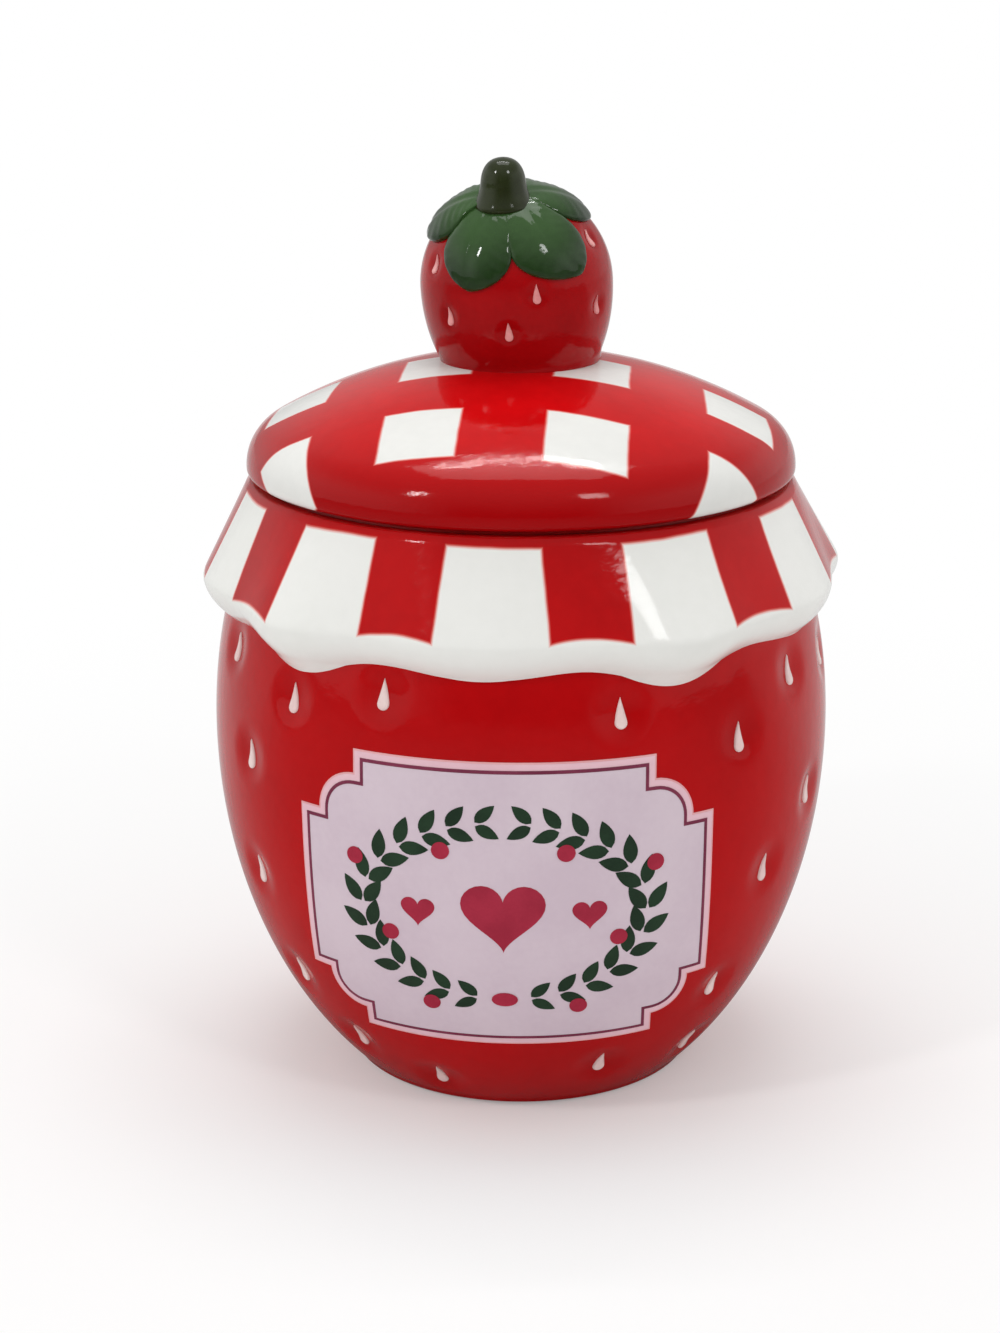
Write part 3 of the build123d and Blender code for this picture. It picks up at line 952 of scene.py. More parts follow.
def rings_to_slab(
    name: str, rim: Sequence[Point], middle: Point, steps: int, low: float, high: float
) -> bpy.types.Mesh:
    """Slab of a star-shaped outline, in rings about a middle point.

    Args:
        name: The mesh's name.
        rim: The outline.
        middle: The point that the rings close in on.
        steps: Number of rings.
        low: Height of the under side.
        high: Height of the upper side.

    Returns:
        The mesh in metres.
    """
    count = len(rim)
    points = [middle]
    mid_x, mid_y = middle
    for ring in range(1, steps + 1):
        share = ring / steps
        points += [(mid_x + (x - mid_x) * share, mid_y + (y - mid_y) * share) for x, y in rim]
    faces: list[tuple[int, ...]] = [(0, 1 + i, 1 + (i + 1) % count) for i in range(count)]
    for ring in range(steps - 1):
        base = 1 + ring * count
        faces += band(base + count, base, count)
    return slab(name, points, faces, low, high)


def wrap_tree(pot: Pot, rise: float, azimuth: float) -> bpy.types.NodeTree:
    """Geometry tree that lays flat motifs on points and bends them onto the pot's wall.

    Args:
        pot: The pot that carries them.
        rise: Height of the flat origin above the belt.
        azimuth: Degrees of the flat origin from the front.

    Returns:
        The tree.
    """
    g, given, target = open_group(
        "print_on_wall", "GeometryNodeTree",
        [("Geometry", GEOMETRY), ("Motif", OBJECT), ("Finish", MATERIAL)], [("Geometry", GEOMETRY)],
    )
    info = g.node("GeometryNodeObjectInfo")
    g.feed(info.inputs["Object"], given["Motif"])
    grow = g.attribute("grow")
    line = g.chain(
        "GeometryNodeInstanceOnPoints", given["Geometry"],
        Instance=Wire(g, info.outputs["Geometry"]),
        Rotation=g.join(0.0, 0.0, g.attribute("turn")), Scale=g.join(grow, grow, 1.0),
    )
    line = g.chain("GeometryNodeRealizeInstances", line)
    along, up, proud = g.split(g.read("GeometryNodeInputPosition", "Position"))
    above = up + rise * MM
    below = g.math("LESS_THAN", above, 0.0)
    semi = below * ((pot.low_semi - pot.up_semi) * MM) + pot.up_semi * MM
    radius = g.math("SQRT", 1.0 - (above / semi) * (above / semi)) * (pot.belly_r * MM)
    turn = along / radius + math.radians(azimuth)
    reach = radius + proud
    place = g.join(
        reach * g.math("SINE", turn), reach * g.math("COSINE", turn) * -1.0,
        above + pot.belly_z * MM,
    )
    line = g.chain("GeometryNodeSetPosition", line, Position=place)
    return close_group(g, target, line, given["Finish"])


@dataclass
class Label:
    """Printed panel on the front, its corners stepped and rounded, with a wreath and hearts."""

    pot: Pot
    width: float = 77.2
    height: float = 56.6
    rise: float = -19.1
    azimuth: float = -3.2
    step: float = 4.3
    corner: float = 7.5
    top: float = 0.12
    layer: float = 0.04
    square: float = 2.0
    rim_w: float = 0.3
    border_in: float = 1.4
    border_w: float = 0.6
    sunk: float = 0.2
    cut_off: float = 0.37
    wreath_w: float = 25.5
    wreath_h: float = 17.6
    sprigs: int = 13
    sprig_start: float = 0.035
    sprig_span: float = 0.43
    sprig_size: Point = (0.82, 0.2)
    leaf_l: float = 5.6
    leaf_half: float = 1.35
    leaf_middle: Point = (2.6, 0.0)
    leaf_bulge: Point = (0.8, 0.85)
    leaf_lean: float = 0.62
    leaf_out: float = 0.35
    berry_r: float = 1.6
    berry_every: int = 3
    berry_ahead: float = 0.017
    berry_out: Point = (3.9, -3.7)
    heart_scale: float = 0.46
    heart_middle: Point = (0.0, -1.0)
    hearts: tuple[Spot, ...] = (
        (0.0, 0.4, 0.0, 1.0), (-15.0, 0.2, 0.0, 0.42), (15.0, 0.2, 0.0, 0.42),
    )
    knot: Point = (2.3, 1.5)

    def panel(self, name: str, inset: float, low: float, high: float) -> bpy.types.Mesh:
        """Flat panel with an outline drawn in by an inset, cut into small squares so that it bends.

        Args:
            name: The mesh's name.
            inset: How far the outline is drawn in.
            low: Height of the under side.
            high: Height of the upper side.

        Returns:
            The mesh in metres.
        """
        work = bmesh.new()
        rim = dict.fromkeys((round(x, 6), round(y, 6)) for x, y in self.outline(inset))
        work.faces.new([work.verts.new((x, y, 0.0)) for x, y in rim])
        for size, axis in ((self.width, Vector((1, 0, 0))), (self.height, Vector((0, 1, 0)))):
            count = math.ceil(size / 2 / self.square)
            for i in range(1 - count, count):
                everything = work.verts[:] + work.edges[:] + work.faces[:]
                cut = axis * (i * self.square + self.cut_off)
                bmesh.ops.bisect_plane(
                    work, geom=everything, dist=1e-4, plane_co=cut, plane_no=axis
                )
        work.normal_update()
        work.verts.index_update()
        points = [(vert.co.x, vert.co.y) for vert in work.verts]
        faces = []
        for face in work.faces:
            loop = [vert.index for vert in face.verts]
            faces.append(tuple(loop if face.normal.z > 0 else reversed(loop)))
        work.free()
        return slab(name, points, faces, low, high)

    def outline(self, inset: float) -> list[Point]:
        """Outline drawn in by an inset, anticlockwise, with as many points for every inset."""
        round_w = self.width / 2 - self.step - self.corner
        round_h = self.height / 2 - self.step - self.corner
        r = self.corner - inset
        tall, wide = self.height / 2 - inset, self.width / 2 - inset
        right: list[Point] = [((round_w - inset) * i / 20, -tall) for i in range(20)]
        right += [(round_w - inset, -tall + (tall - round_h - r) * i / 4) for i in range(5)]
        right += arc((round_w, -round_h), r, -90, 0, 12)
        right += [(round_w + r + (wide - round_w - r) * i / 4, -round_h + inset) for i in range(4)]
        right += [(wide, (-round_h + inset) * (1 - i / 12)) for i in range(12)]
        side = right + [(wide, 0.0)] + [(x, -y) for x, y in reversed(right)]
        return side[:-1] + [(-x, -y) for x, y in side[:-1]]

    def heart(self) -> list[Point]:
        """Outline of the heart."""
        points = []
        for i in range(48):
            t = 2 * math.pi * i / 48
            x = 16 * math.sin(t) ** 3
            y = 13 * math.cos(t) - 5 * math.cos(2 * t) - 2 * math.cos(3 * t) - math.cos(4 * t)
            points.append((x * self.heart_scale, y * self.heart_scale))
        return points

    def leaf(self) -> list[Point]:
        """Outline of a wreath leaf, its stalk at the origin and its tip along +X."""
        skew, blunt = self.leaf_bulge
        upper = [
            (self.leaf_l * i / 8, self.leaf_half * math.sin(math.pi * (i / 8) ** skew) ** blunt)
            for i in range(1, 8)
        ]
        lower = [(x, -y) for x, y in upper]
        return [(0.0, 0.0), *lower, (self.leaf_l, 0.0), *reversed(upper)]

    def on_wreath(self, share: float, out: float) -> Triple:
        """Place on the oval and the direction along it.

        Args:
            share: Share of the whole turn, from the bottom.
            out: Distance outside the oval.

        Returns:
            The flat place and the angle of the oval's own direction.
        """
        angles = [2 * math.pi * i / 720 - math.pi / 2 for i in range(721)]
        wide, tall = self.wreath_w, self.wreath_h
        spans = [math.hypot(wide * math.sin(b), tall * math.cos(b)) for b in angles[:-1]]
        gone = list(itertools.accumulate(spans))
        a = angles[bisect.bisect_left(gone, (share % 1.0) * gone[-1])]
        along = math.atan2(tall * math.cos(a), -wide * math.sin(a))
        x = wide * math.cos(a) + out * math.sin(along)
        y = tall * math.sin(a) - out * math.cos(along)
        return x, y, along

    def laid(
        self, name: str, motif: bpy.types.Mesh, spots: Sequence[Spot], finish: bpy.types.Material,
        tree: bpy.types.NodeTree,
    ) -> None:
        """Lays copies of a flat motif on the wall.

        Args:
            name: The piece's name.
            motif: The flat mesh.
            spots: Where each copy lies.
            finish: The print's colour.
            tree: The geometry tree that lays it.
        """
        mesh = bpy.data.meshes.new(name)
        mesh.from_pydata([(x * MM, y * MM, 0.0) for x, y, _, _ in spots], [], [])
        spread(mesh, "turn", [turn for _, _, turn, _ in spots])
        spread(mesh, "grow", [grow for _, _, _, grow in spots])
        pattern = show("motif", motif)
        piece = grown(show(name, mesh), tree, Motif=pattern, Finish=finish)
        bpy.data.objects.remove(pattern)
        settle(piece, Body.POT, Slot.LABEL, *(("label",) if name == "label_panel" else ()))

    def build(self, finishes: dict[str, bpy.types.Material]) -> None:
        """Makes the panel and its print and sets them on the pot's body."""
        tree = wrap_tree(self.pot, self.rise, self.azimuth)
        home = [(0.0, 0.0, 0.0, 1.0)]
        levels = [self.top + self.layer * i for i in range(6)]
        inset = self.border_in + self.border_w / 2
        for name, depth, level, look in (
            ("label_panel", 0.0, 0, "rim"), ("label_margin", self.rim_w, 1, "margin"),
            ("label_field", inset, 2, "field"),
        ):
            flat = self.panel(name, depth, self.top - self.sunk, levels[level])
            self.laid(name, flat, home, finishes[look], tree)
        rims = [self.outline(self.border_in), self.outline(self.border_in + self.border_w)]
        count = len(rims[0])
        line = slab("line", rims[0] + rims[1], band(0, count, count), self.top, levels[3])
        self.laid("label_border", line, home, finishes["ink"], tree)
        leaves: list[Spot] = []
        berries: list[Spot] = []
        for side in (1, -1):
            for i in range(self.sprigs):
                share = side * (self.sprig_start + self.sprig_span * i / (self.sprigs - 1))
                least, more = self.sprig_size
                grow = least + more * math.sin(math.pi * i / (self.sprigs - 1))
                for way in (1, -1):
                    x, y, along = self.on_wreath(share, way * self.leaf_out)
                    heading = along if side > 0 else along + math.pi
                    leaves.append((x, y, heading - way * self.leaf_lean * side, grow))
                if i % self.berry_every == 1:
                    out = self.berry_out[0 if i % 2 else 1]
                    x, y, _ = self.on_wreath(share + side * self.berry_ahead, out)
                    berries.append((x, y, 0.0, 1.0))
        x, y, _ = self.on_wreath(0.0, 0.0)
        dot, knot = ellipse(self.berry_r, self.berry_r, 24), ellipse(*self.knot, 20)
        centre = (0.0, 0.0)
        for name, rim, middle, steps, level, spots, look in (
            ("label_leaves", self.leaf(), self.leaf_middle, 3, 3, leaves, "print_leaf"),
            ("label_berries", dot, centre, 2, 4, berries, "print_rose"),
            ("label_heart", self.heart(), self.heart_middle, 7, 3, self.hearts, "print_rose"),
            ("label_knot", knot, centre, 2, 5, [(x, y, 0.0, 1.0)], "print_rose"),
        ):
            motif = rings_to_slab("motif", rim, middle, steps, self.top, levels[level])
            self.laid(name, motif, spots, finishes[look], tree)


@dataclass
class Lid:
    """Shallow dome with a rounded rim, a locating flange and a groove for the seal."""

    seat_z: float = 113.2
    lid_r: float = 50.3
    apex_z: float = 134.6
    edge_h: float = 6.6
    rim_round: float = 9.0
    lower_round: float = 1.3
    wall: float = 4.5
    flange_r: float = 40.5
    flange_in: float = 36.5
    flange_h: float = 10.0
    flange_round: float = 1.0
    groove_r: float = 38.8
    groove_drop: float = 3.2
    groove_h: float = 3.6
    vent_r: float = 1.5
    bare: float = 2.2
    edge: float = 0.1
    lead: float = 0.5
    crown_steps: int = 56
    inside_steps: int = 30
    segments: int = 320

    @property
    def crown_r(self) -> float:
        """Radius of the dome."""
        sag = self.apex_z - self.seat_z - self.edge_h
        return (self.lid_r**2 + sag**2) / (2 * sag)

    def crown_z(self, r: float) -> float:
        """Height of the dome at a radius."""
        return self.apex_z - self.crown_r + math.sqrt(self.crown_r**2 - r**2)

    def section(self) -> Section:
        """Closed outline from the vent over the dome and back under it."""
        made = Section()
        centre = self.apex_z - self.crown_r
        rim_r = self.lid_r - self.rim_round
        rim_z = centre + math.sqrt((self.crown_r - self.rim_round) ** 2 - rim_r**2)
        reach = math.degrees(math.atan2(rim_z - centre, rim_r))
        touch = self.crown_r * math.cos(math.radians(reach))
        steps, width = self.crown_steps, touch - self.vent_r
        crown = [self.vent_r + width * i / steps for i in range(steps)]
        made.add([(r, self.crown_z(r)) for r in crown], Part.OUTSIDE)
        made.add(arc((rim_r, rim_z), self.rim_round, reach, 0, 16), Part.OUTSIDE)
        low = self.lower_round
        made.add(arc((self.lid_r - low, self.seat_z + low), low, 0, -75, 6), Part.OUTSIDE)
        seat = (self.lid_r - low, self.flange_r + self.bare)
        made.add([(r, self.seat_z) for r in seat], Part.BARE)
        edge, lead, out = self.edge, self.lead, self.flange_r
        made.add([(out + lead, self.seat_z), (out + edge, self.seat_z - edge)], Part.INSIDE)
        top = self.seat_z - self.groove_drop
        under = top - self.groove_h
        made.add([(out, self.seat_z - lead), (out, top + edge), (out - edge, top)], Part.INSIDE)
        made.add([(self.groove_r, top), (self.groove_r, under), (out - edge, under)], Part.INSIDE)
        foot = self.seat_z - self.flange_h
        soft = self.flange_round
        made.add([(out, under - edge)], Part.INSIDE)
        made.add(arc((self.flange_r - soft, foot + soft), soft, 0, -90, 6), Part.INSIDE)
        made.add(arc((self.flange_in + soft, foot + soft), soft, -90, -180, 6), Part.INSIDE)
        inner = self.crown_r - self.wall
        steps, width = self.inside_steps, self.vent_r - self.flange_in
        inside = [self.flange_in + width * i / steps for i in range(steps + 1)]
        made.add([(r, centre + math.sqrt(inner**2 - r**2)) for r in inside], Part.INSIDE)
        return made

    def build(self, finishes: dict[str, bpy.types.Material]) -> None:
        """Makes the lid and sets it on its body."""
        made = self.section()
        mesh = made.turned("lid_dome", self.segments, no_dimples, closed=True)
        gone = made.rows[0][0]
        drape: list[float] = []
        for (r, z, zone), before in zip(made.rows, made.rows[:1] + made.rows):
            gone += math.hypot(r - before[0], z - before[1])
            drape += [gone / r if zone is Part.OUTSIDE else 1.0] * self.segments
        spread(mesh, "drape", drape)
        mesh.set_sharp_from_angle(angle=RIM_EDGE)
        piece = show("lid_dome", mesh, finishes["checks"], finishes["inside"], finishes["bare"])
        settle(piece, Body.LID, Slot.LID, "lid_shell")


@dataclass
class Seal:
    """Soft ring with two lips in the lid's groove."""

    lid: Lid
    mouth_r: float = 43.5
    fit: float = 0.05
    proud: float = 0.6
    lip: float = 0.8
    slant: float = 0.5
    clearance: float = 0.1
    bevel: float = 0.15
    root: tuple[Point, ...] = ((0.0, 0.0), (0.3, 0.03))
    back: tuple[Point, ...] = ((0.25, 0.05), (0.0, 0.2))
    segments: int = 256

    def build(self, finish: bpy.types.Material) -> None:
        """Makes the ring and sets it on its body."""
        inner = self.lid.groove_r + self.fit
        band = self.lid.flange_r + self.proud
        tip = self.mouth_r - self.clearance
        low = self.lid.seat_z - self.lid.groove_drop - self.lid.groove_h + self.fit
        high = self.lid.seat_z - self.lid.groove_drop - self.fit
        made = Section()
        cut = self.bevel
        rim = [(inner, (low + high) / 2), (inner, low + cut), (inner + cut, low)]
        for foot in (low, high - self.lip - self.slant):
            rim += [(band + dr, foot + dz) for dr, dz in self.root]
            middle = (tip - self.lip / 4, foot + self.slant + self.lip / 4)
            rim += arc(middle, self.lip / 4, -60, 75, 5)
            rim += [(band + dr, foot + self.lip + dz) for dr, dz in self.back]
        rim += [(band, high - cut), (band - cut, high), (inner + cut, high), (inner, high - cut)]
        made.add(rim, Part.OUTSIDE)
        mesh = made.turned("seal_ring", self.segments, no_dimples, closed=True)
        mesh.set_sharp_from_angle(angle=RIM_EDGE)
        settle(show("seal_ring", mesh, finish), Body.SEAL, Slot.SEAL, "lid_seal")


@dataclass
class Berry:
    """Berry that stands on the dome as its knob, with its seeds."""

    lid: Lid
    radius: float = 17.4
    foot_r: float = 14.2
    low_h: float = 13.9
    lean: float = 3.3
    fillet: float = 0.45
    fillet_h: float = 1.6
    fillet_low: float = -0.3
    fillet_step: float = 0.2
    wall_steps: int = 20
    crown: tuple[float, int] = (88, 34)
    bare_share: float = 0.6
    seed_size: Triple = (3.5, 1.5, 0.35)
    dimple: Point = (2.7, 0.55)
    segments: int = 192
    seeds: tuple[Point, ...] = (
        (-59.0, 5.3), (-45.0, -3.6), (12.0, 0.2), (-6.0, -6.3), (56.0, -3.4), (62.0, 8.2),
        (121.0, 5.3), (135.0, -3.6), (192.0, 0.2), (174.0, -6.3), (236.0, -3.4), (242.0, 5.5),
        (96.0, -2.0), (-98.0, 0.5), (160.0, 8.0), (208.0, 8.6),
    )

    @property
    def low_semi(self) -> float:
        """Half height of the ellipse below the belt."""
        return self.low_h / math.sqrt(1 - (self.foot_r / self.radius) ** 2)

    @property
    def place(self) -> Matrix:
        """From the berry's own frame to the pot's, in millimetres."""
        up = Matrix.Translation((0, 0, self.lid.crown_z(self.foot_r)))
        return up @ Matrix.Rotation(math.radians(-self.lean), 4, "Y")

    @property
    def middle(self) -> Vector:
        """Middle of the berry's upper half."""
        return self.place @ Vector((0, 0, self.low_h))

    def drops(self) -> Drops:
        """The seeds in the berry's own frame."""
        belt, semis = (self.radius, self.low_h), (self.low_semi, self.radius)
        places = [wall_place(belt, semis, *seed) for seed in self.seeds]
        return Drops(*self.seed_size, *self.dimple, places)

    def build(self, finishes: dict[str, bpy.types.Material], tree: bpy.types.NodeTree) -> None:
        """Makes the berry and its seeds and sets them on the lid's body."""
        drops = self.drops()
        made = Section()
        top = self.fillet_h
        made.add([(0.0, -top), (self.foot_r * self.bare_share, -top)], Part.BARE)
        count, steps = round(2 * top / self.fillet_step), self.wall_steps
        heights = [-top + self.fillet_step * i for i in range(count + 1)]
        heights += [top + (self.low_h - top) * i / steps for i in range(1, steps)]
        wall: list[Point] = []
        for z in heights:
            r = self.radius * math.sqrt(1 - ((z - self.low_h) / self.low_semi) ** 2)
            wall.append((r + self.fillet * max(0.0, 1 - max(z, self.fillet_low) / top) ** 2, z))
        made.add(wall, Part.OUTSIDE)
        made.add(arc((0.0, self.low_h), self.radius, 0, *self.crown), Part.OUTSIDE)
        made.add([(0.0, self.low_h + self.radius)], Part.OUTSIDE)
        mesh = made.turned("berry", self.segments, drops.press)
        metres = in_metres(self.place)
        mesh.transform(metres)
        piece = show("berry", mesh, finishes["berry"], finishes["bare"], finishes["bare"])
        settle(piece, Body.LID, Slot.BERRY, "berry_knob")
        seeds = drops.scatter("berry_drops", finishes["berry_seed"], tree)
        seeds.data.transform(metres)
        settle(seeds, Body.LID, Slot.SEED, "knob_seeds")


@dataclass(frozen=True)
class Lobe:
    """One leaf: its tip, sway and side notches in degrees, and its thickness."""

    tip: float
    sway: float
    left: float
    right: float
    thick: float = 1.5


@dataclass
class Calyx:
    """Five leaves and a stem on top of the berry, tipped forwards."""

    berry: Berry
    first: float = -17.0
    root: float = 7.0
    lobes: tuple[Lobe, ...] = (
        Lobe(61.5, 4.0, 32.0, 38.0), Lobe(66.0, 10.0, 38.0, 28.0), Lobe(60.0, 0.0, 28.0, 36.0),
        Lobe(60.0, 0.0, 36.0, 36.0), Lobe(57.0, -4.0, 36.0, 33.0, 2.1),
    )
    overlap: float = 0.6
    taper: float = 0.76
    tilt: float = 27.0
    azimuth: float = -16.5
    stem_r: float = 4.4
    stem_top_r: float = 3.5
    stem_h: float = 7.7
    stem_round: float = 4.4
    stem_tilt: float = 6.0
    stem_root: float = -3.6
    stem_core: float = 2.0
    stem_spread: float = 1.2
    spread_h: float = 4.6
    spread_low: float = -1.2
    stem_most: float = 1.4
    stem_blunt: float = 0.8
    wall_steps: int = 28
    cap_steps: int = 12
    smoothing: int = 5
    segments: int = 72
    sheet: tuple[int, int] = (40, 32)
    sheet_crowd: float = 1.4
    weld: float = 2e-6  # metres

    def aim(self, tilt: float) -> Matrix:
        """Turn of the calyx about the axis after a tilt in degrees."""
        turn = Matrix.Rotation(math.radians(self.azimuth), 4, "Z")
        return turn @ Matrix.Rotation(math.radians(tilt), 4, "X")

    @property
    def place(self) -> Matrix:
        """From the calyx's own frame to the pot's, in millimetres."""
        return Matrix.Translation(self.berry.middle) @ self.aim(self.tilt)

    def blank(self, name: str) -> bpy.types.Mesh:
        """Closed sheet of a leaf, with its shares along and across and its upper side marked."""
        rows, columns = self.sheet
        marks: list[Triple] = []
        table: list[list[int]] = []
        for upper in (1.0, 0.0):
            for i in range(rows + 1):
                u = 1 - (1 - i / rows) ** self.sheet_crowd
                table.append(list(range(len(marks), len(marks) + columns + 1)))
                for j in range(columns + 1):
                    marks.append((u, math.sin(math.pi / 2 * (2 * j / columns - 1)), upper))
        faces: list[tuple[int, ...]] = []
        over, under = table[:rows + 1], table[rows + 1:]
        for i in range(rows):
            a, b, c, d = over[i], over[i + 1], under[i], under[i + 1]
            for j in range(columns):
                faces.append((a[j], a[j + 1], b[j + 1], b[j]))
                faces.append((c[j + 1], c[j], d[j], d[j + 1]))
            for j in (0, columns):
                faces.append((a[j], b[j], d[j], c[j]))
        for i in (0, rows):
            a, c = over[i], under[i]
            for j in range(columns):
                faces.append((a[j], a[j + 1], c[j + 1], c[j]))
        mesh = bpy.data.meshes.new(name)
        mesh.from_pydata(marks, [], faces)
        for index, label in enumerate(("along", "across", "upper")):
            spread(mesh, label, [c[index] for c in marks])
        return mesh

    def leaf(self, index: int, finish: bpy.types.Material, tree: bpy.types.NodeTree) -> None:
        """Makes one leaf and sets it on the lid's body.

        Args:
            index: Number of the leaf from 0.
            finish: The leaf's glaze.
            tree: The geometry tree that shapes it.
        """
        name = f"leaf_{index + 1}"
        lobe = self.lobes[index]
        turn = math.radians(self.first + 360 * index / len(self.lobes))
        piece = grown(
            show(name, self.blank(name)), tree, Turn=turn, Radius=self.berry.radius * MM,
            Thickness=lobe.thick * MM, Root=math.radians(self.root),
            Left_notch=math.radians(lobe.left), Right_notch=math.radians(lobe.right),
            Tip=math.radians(lobe.tip),
            Half=math.radians(180 / len(self.lobes) + self.overlap), Taper=self.taper,
            Sway=math.radians(lobe.sway), Finish=finish,
        )
        turn_outwards(piece.data, self.weld)
        piece.data.transform(in_metres(self.place))
        settle(piece, Body.LID, Slot.LEAF, f"calyx_leaf_{index + 1}")

    def stem(self, finish: bpy.types.Material) -> None:
        """Makes the stem, rounded on top and spread at its foot, and sets it on the lid's body."""
        slope = (self.stem_r - self.stem_top_r) / self.stem_h
        made = Section()
        root, low = self.stem_root, self.spread_low
        top = self.stem_h - self.stem_round
        wall: list[Point] = []
        for i in range(self.wall_steps + 1):
            z = root + (top - root) * i / self.wall_steps
            foot = max(0.0, 1 - (z - low) / self.spread_h) ** 2 * (z > low)
            wall.append((self.stem_r - slope * z + self.stem_spread * foot, z))
        outline = [(self.stem_core, root)]
        outline += [(min(r, self.stem_r + self.stem_most), z) for r, z in wall]
        end = wall[-1][0]
        for i in range(1, self.cap_steps + 1):
            a = math.pi / 2 * i / self.cap_steps
            r = end * math.cos(a) ** self.stem_blunt if i < self.cap_steps else 0.0
            outline.append((r, top + self.stem_round * math.sin(a)))
        made.add([(0.0, root), *smoothed(outline, self.smoothing)], Part.OUTSIDE)
        mesh = made.turned("berry_stem", self.segments, no_dimples)
        seat = self.place @ Vector((0, 0, self.berry.radius))
        mesh.transform(in_metres(Matrix.Translation(seat) @ self.aim(self.stem_tilt)))
        settle(show("berry_stem", mesh, finish), Body.LID, Slot.LEAF, "stem")

    def build(self, finishes: dict[str, bpy.types.Material]) -> None:
        """Makes the leaves and the stem."""
        tree = leaf_tree()
        for index in range(len(self.lobes)):
            self.leaf(index, finishes["leaf"], tree)
        self.stem(finishes["stem"])


RIB_W = 0.75 * MM  # half width of the midrib's furrow
RIB_DEEP = 0.22  # depths are shares of the leaf's thickness
VEINS, VEIN_SLANT, VEIN_HIGH = 9.0, 2.2, 0.05
CUP_DEEP = 0.15
EDGE_THIN, EDGE_THINNER = 0.78, 0.6  # where the leaves touch, and how much less past the notch
PART_FROM, PART_TO = 0.2, 0.04  # radians before and after the notch
UNDER = 0.15  # the underside lies this much inside the berry


def leaf_tree() -> bpy.types.NodeTree:
    """Geometry tree that bends a sheet over the berry into a lobed leaf with a midrib and veins."""
    sizes = (
        "Turn", "Radius", "Thickness", "Root", "Left notch", "Right notch", "Tip", "Half", "Taper",
        "Sway",
    )
    g, given, target = open_group(
        "leaf_on_berry", "GeometryNodeTree",
        [("Geometry", GEOMETRY)] + [(name, FLOAT) for name in sizes] + [("Finish", MATERIAL)],
        [("Geometry", GEOMETRY)],
    )
    along, across, upper = (g.attribute(name) for name in ("along", "across", "upper"))
    polar = given["Root"] + (given["Tip"] - given["Root"]) * along
    left, right = given["Left notch"], given["Right notch"]
    notch = left + (right - left) * (across * 0.5 + 0.5)
    past = g.math("MAXIMUM", (polar - notch) / (given["Tip"] - notch), 0.0)
    half = given["Half"] * g.math("MAXIMUM", 1.0 - past * past, 0.0) ** given["Taper"]
    ring = given["Radius"] * g.math("SINE", polar)
    side = ring * half * across
    edge = g.math("SQRT", g.math("MAXIMUM", 1.0 - abs(across) ** 3.0, 0.0))
    end = g.math("SQRT", g.math("MAXIMUM", 1.0 - along**7.0, 0.0))
    rib = g.math("EXPONENT", (side / RIB_W) * (side / RIB_W) * -1.0)
    wave = g.math("SINE", (along * VEINS - abs(across) * VEIN_SLANT) * (2 * math.pi))
    vein = wave * VEIN_HIGH * edge * end
    apart = g.ramp(polar, notch - PART_FROM, notch + PART_TO)
    thin = EDGE_THIN - apart * EDGE_THINNER
    cup = g.math("SINE", abs(across) * math.pi) * CUP_DEEP * end
    full = thin + (1.0 - thin) * edge * end + vein * abs(across) - rib * RIB_DEEP * end - cup
    lift = given["Thickness"] * (upper * full - (1.0 - upper) * UNDER)
    reach = given["Radius"] + lift
    turn = across * half + given["Turn"] + given["Sway"] * past * past
    out = reach * g.math("SINE", polar)
    place = g.join(
        out * g.math("SINE", turn), out * g.math("COSINE", turn) * -1.0,
        reach * g.math("COSINE", polar),
    )
    line = g.chain("GeometryNodeSetPosition", given["Geometry"], Position=place)
    return close_group(g, target, line, given["Finish"])


WAVES = ((28.0, 3.0), (420.0, 2.0), (2600.0, 1.0))  # waves in a metre of glaze, and octaves
POOL_SHARES, POOL_STEP = (0.8, 0.2), (0.3, 0.7)
RIPPLE_SHARES = (0.75, 0.22, 0.03)
DULL_SHARES, SPECK_STEP = (0.05, 0.04), (0.62, 0.75)
BRUSH_WAVES = ((45.0, 2.4), (260.0, 0.3))  # waves in a metre of a painted edge, and their sway
BRUSH_SOFT = 0.12  # half width of a painted edge in millimetres
BLEED_CORE = 0.35  # the full part of a line of bleeding


def weighed(values: Iterable[Wire], shares: Iterable[float]) -> Wire:
    """Sum of values, each by its share."""
    return functools.reduce(operator.add, (v * share for v, share in zip(values, shares)))


def flow_group() -> bpy.types.NodeTree:
    """Shader group of a run glaze: where it pools, how it ripples and how it shines."""
    g, given, target = open_group(
        "glaze_flow", "ShaderNodeTree",
        [("Vector", VECTOR), ("Scale", FLOAT), ("Shine", FLOAT)],
        [("Pool", FLOAT), ("Ripple", FLOAT), ("Roughness", FLOAT)],
    )
    broad, fine, speck = (
        g.noise(given["Vector"], given["Scale"] * count, octaves) for count, octaves in WAVES
    )
    g.feed(target.inputs["Pool"], g.ramp(weighed((broad, fine), POOL_SHARES), *POOL_STEP))
    g.feed(target.inputs["Ripple"], weighed((broad, fine, speck), RIPPLE_SHARES))
    dull = weighed((broad, g.ramp(speck, *SPECK_STEP)), DULL_SHARES)
    g.feed(target.inputs["Roughness"], given["Shine"] + dull)
    return g.tree


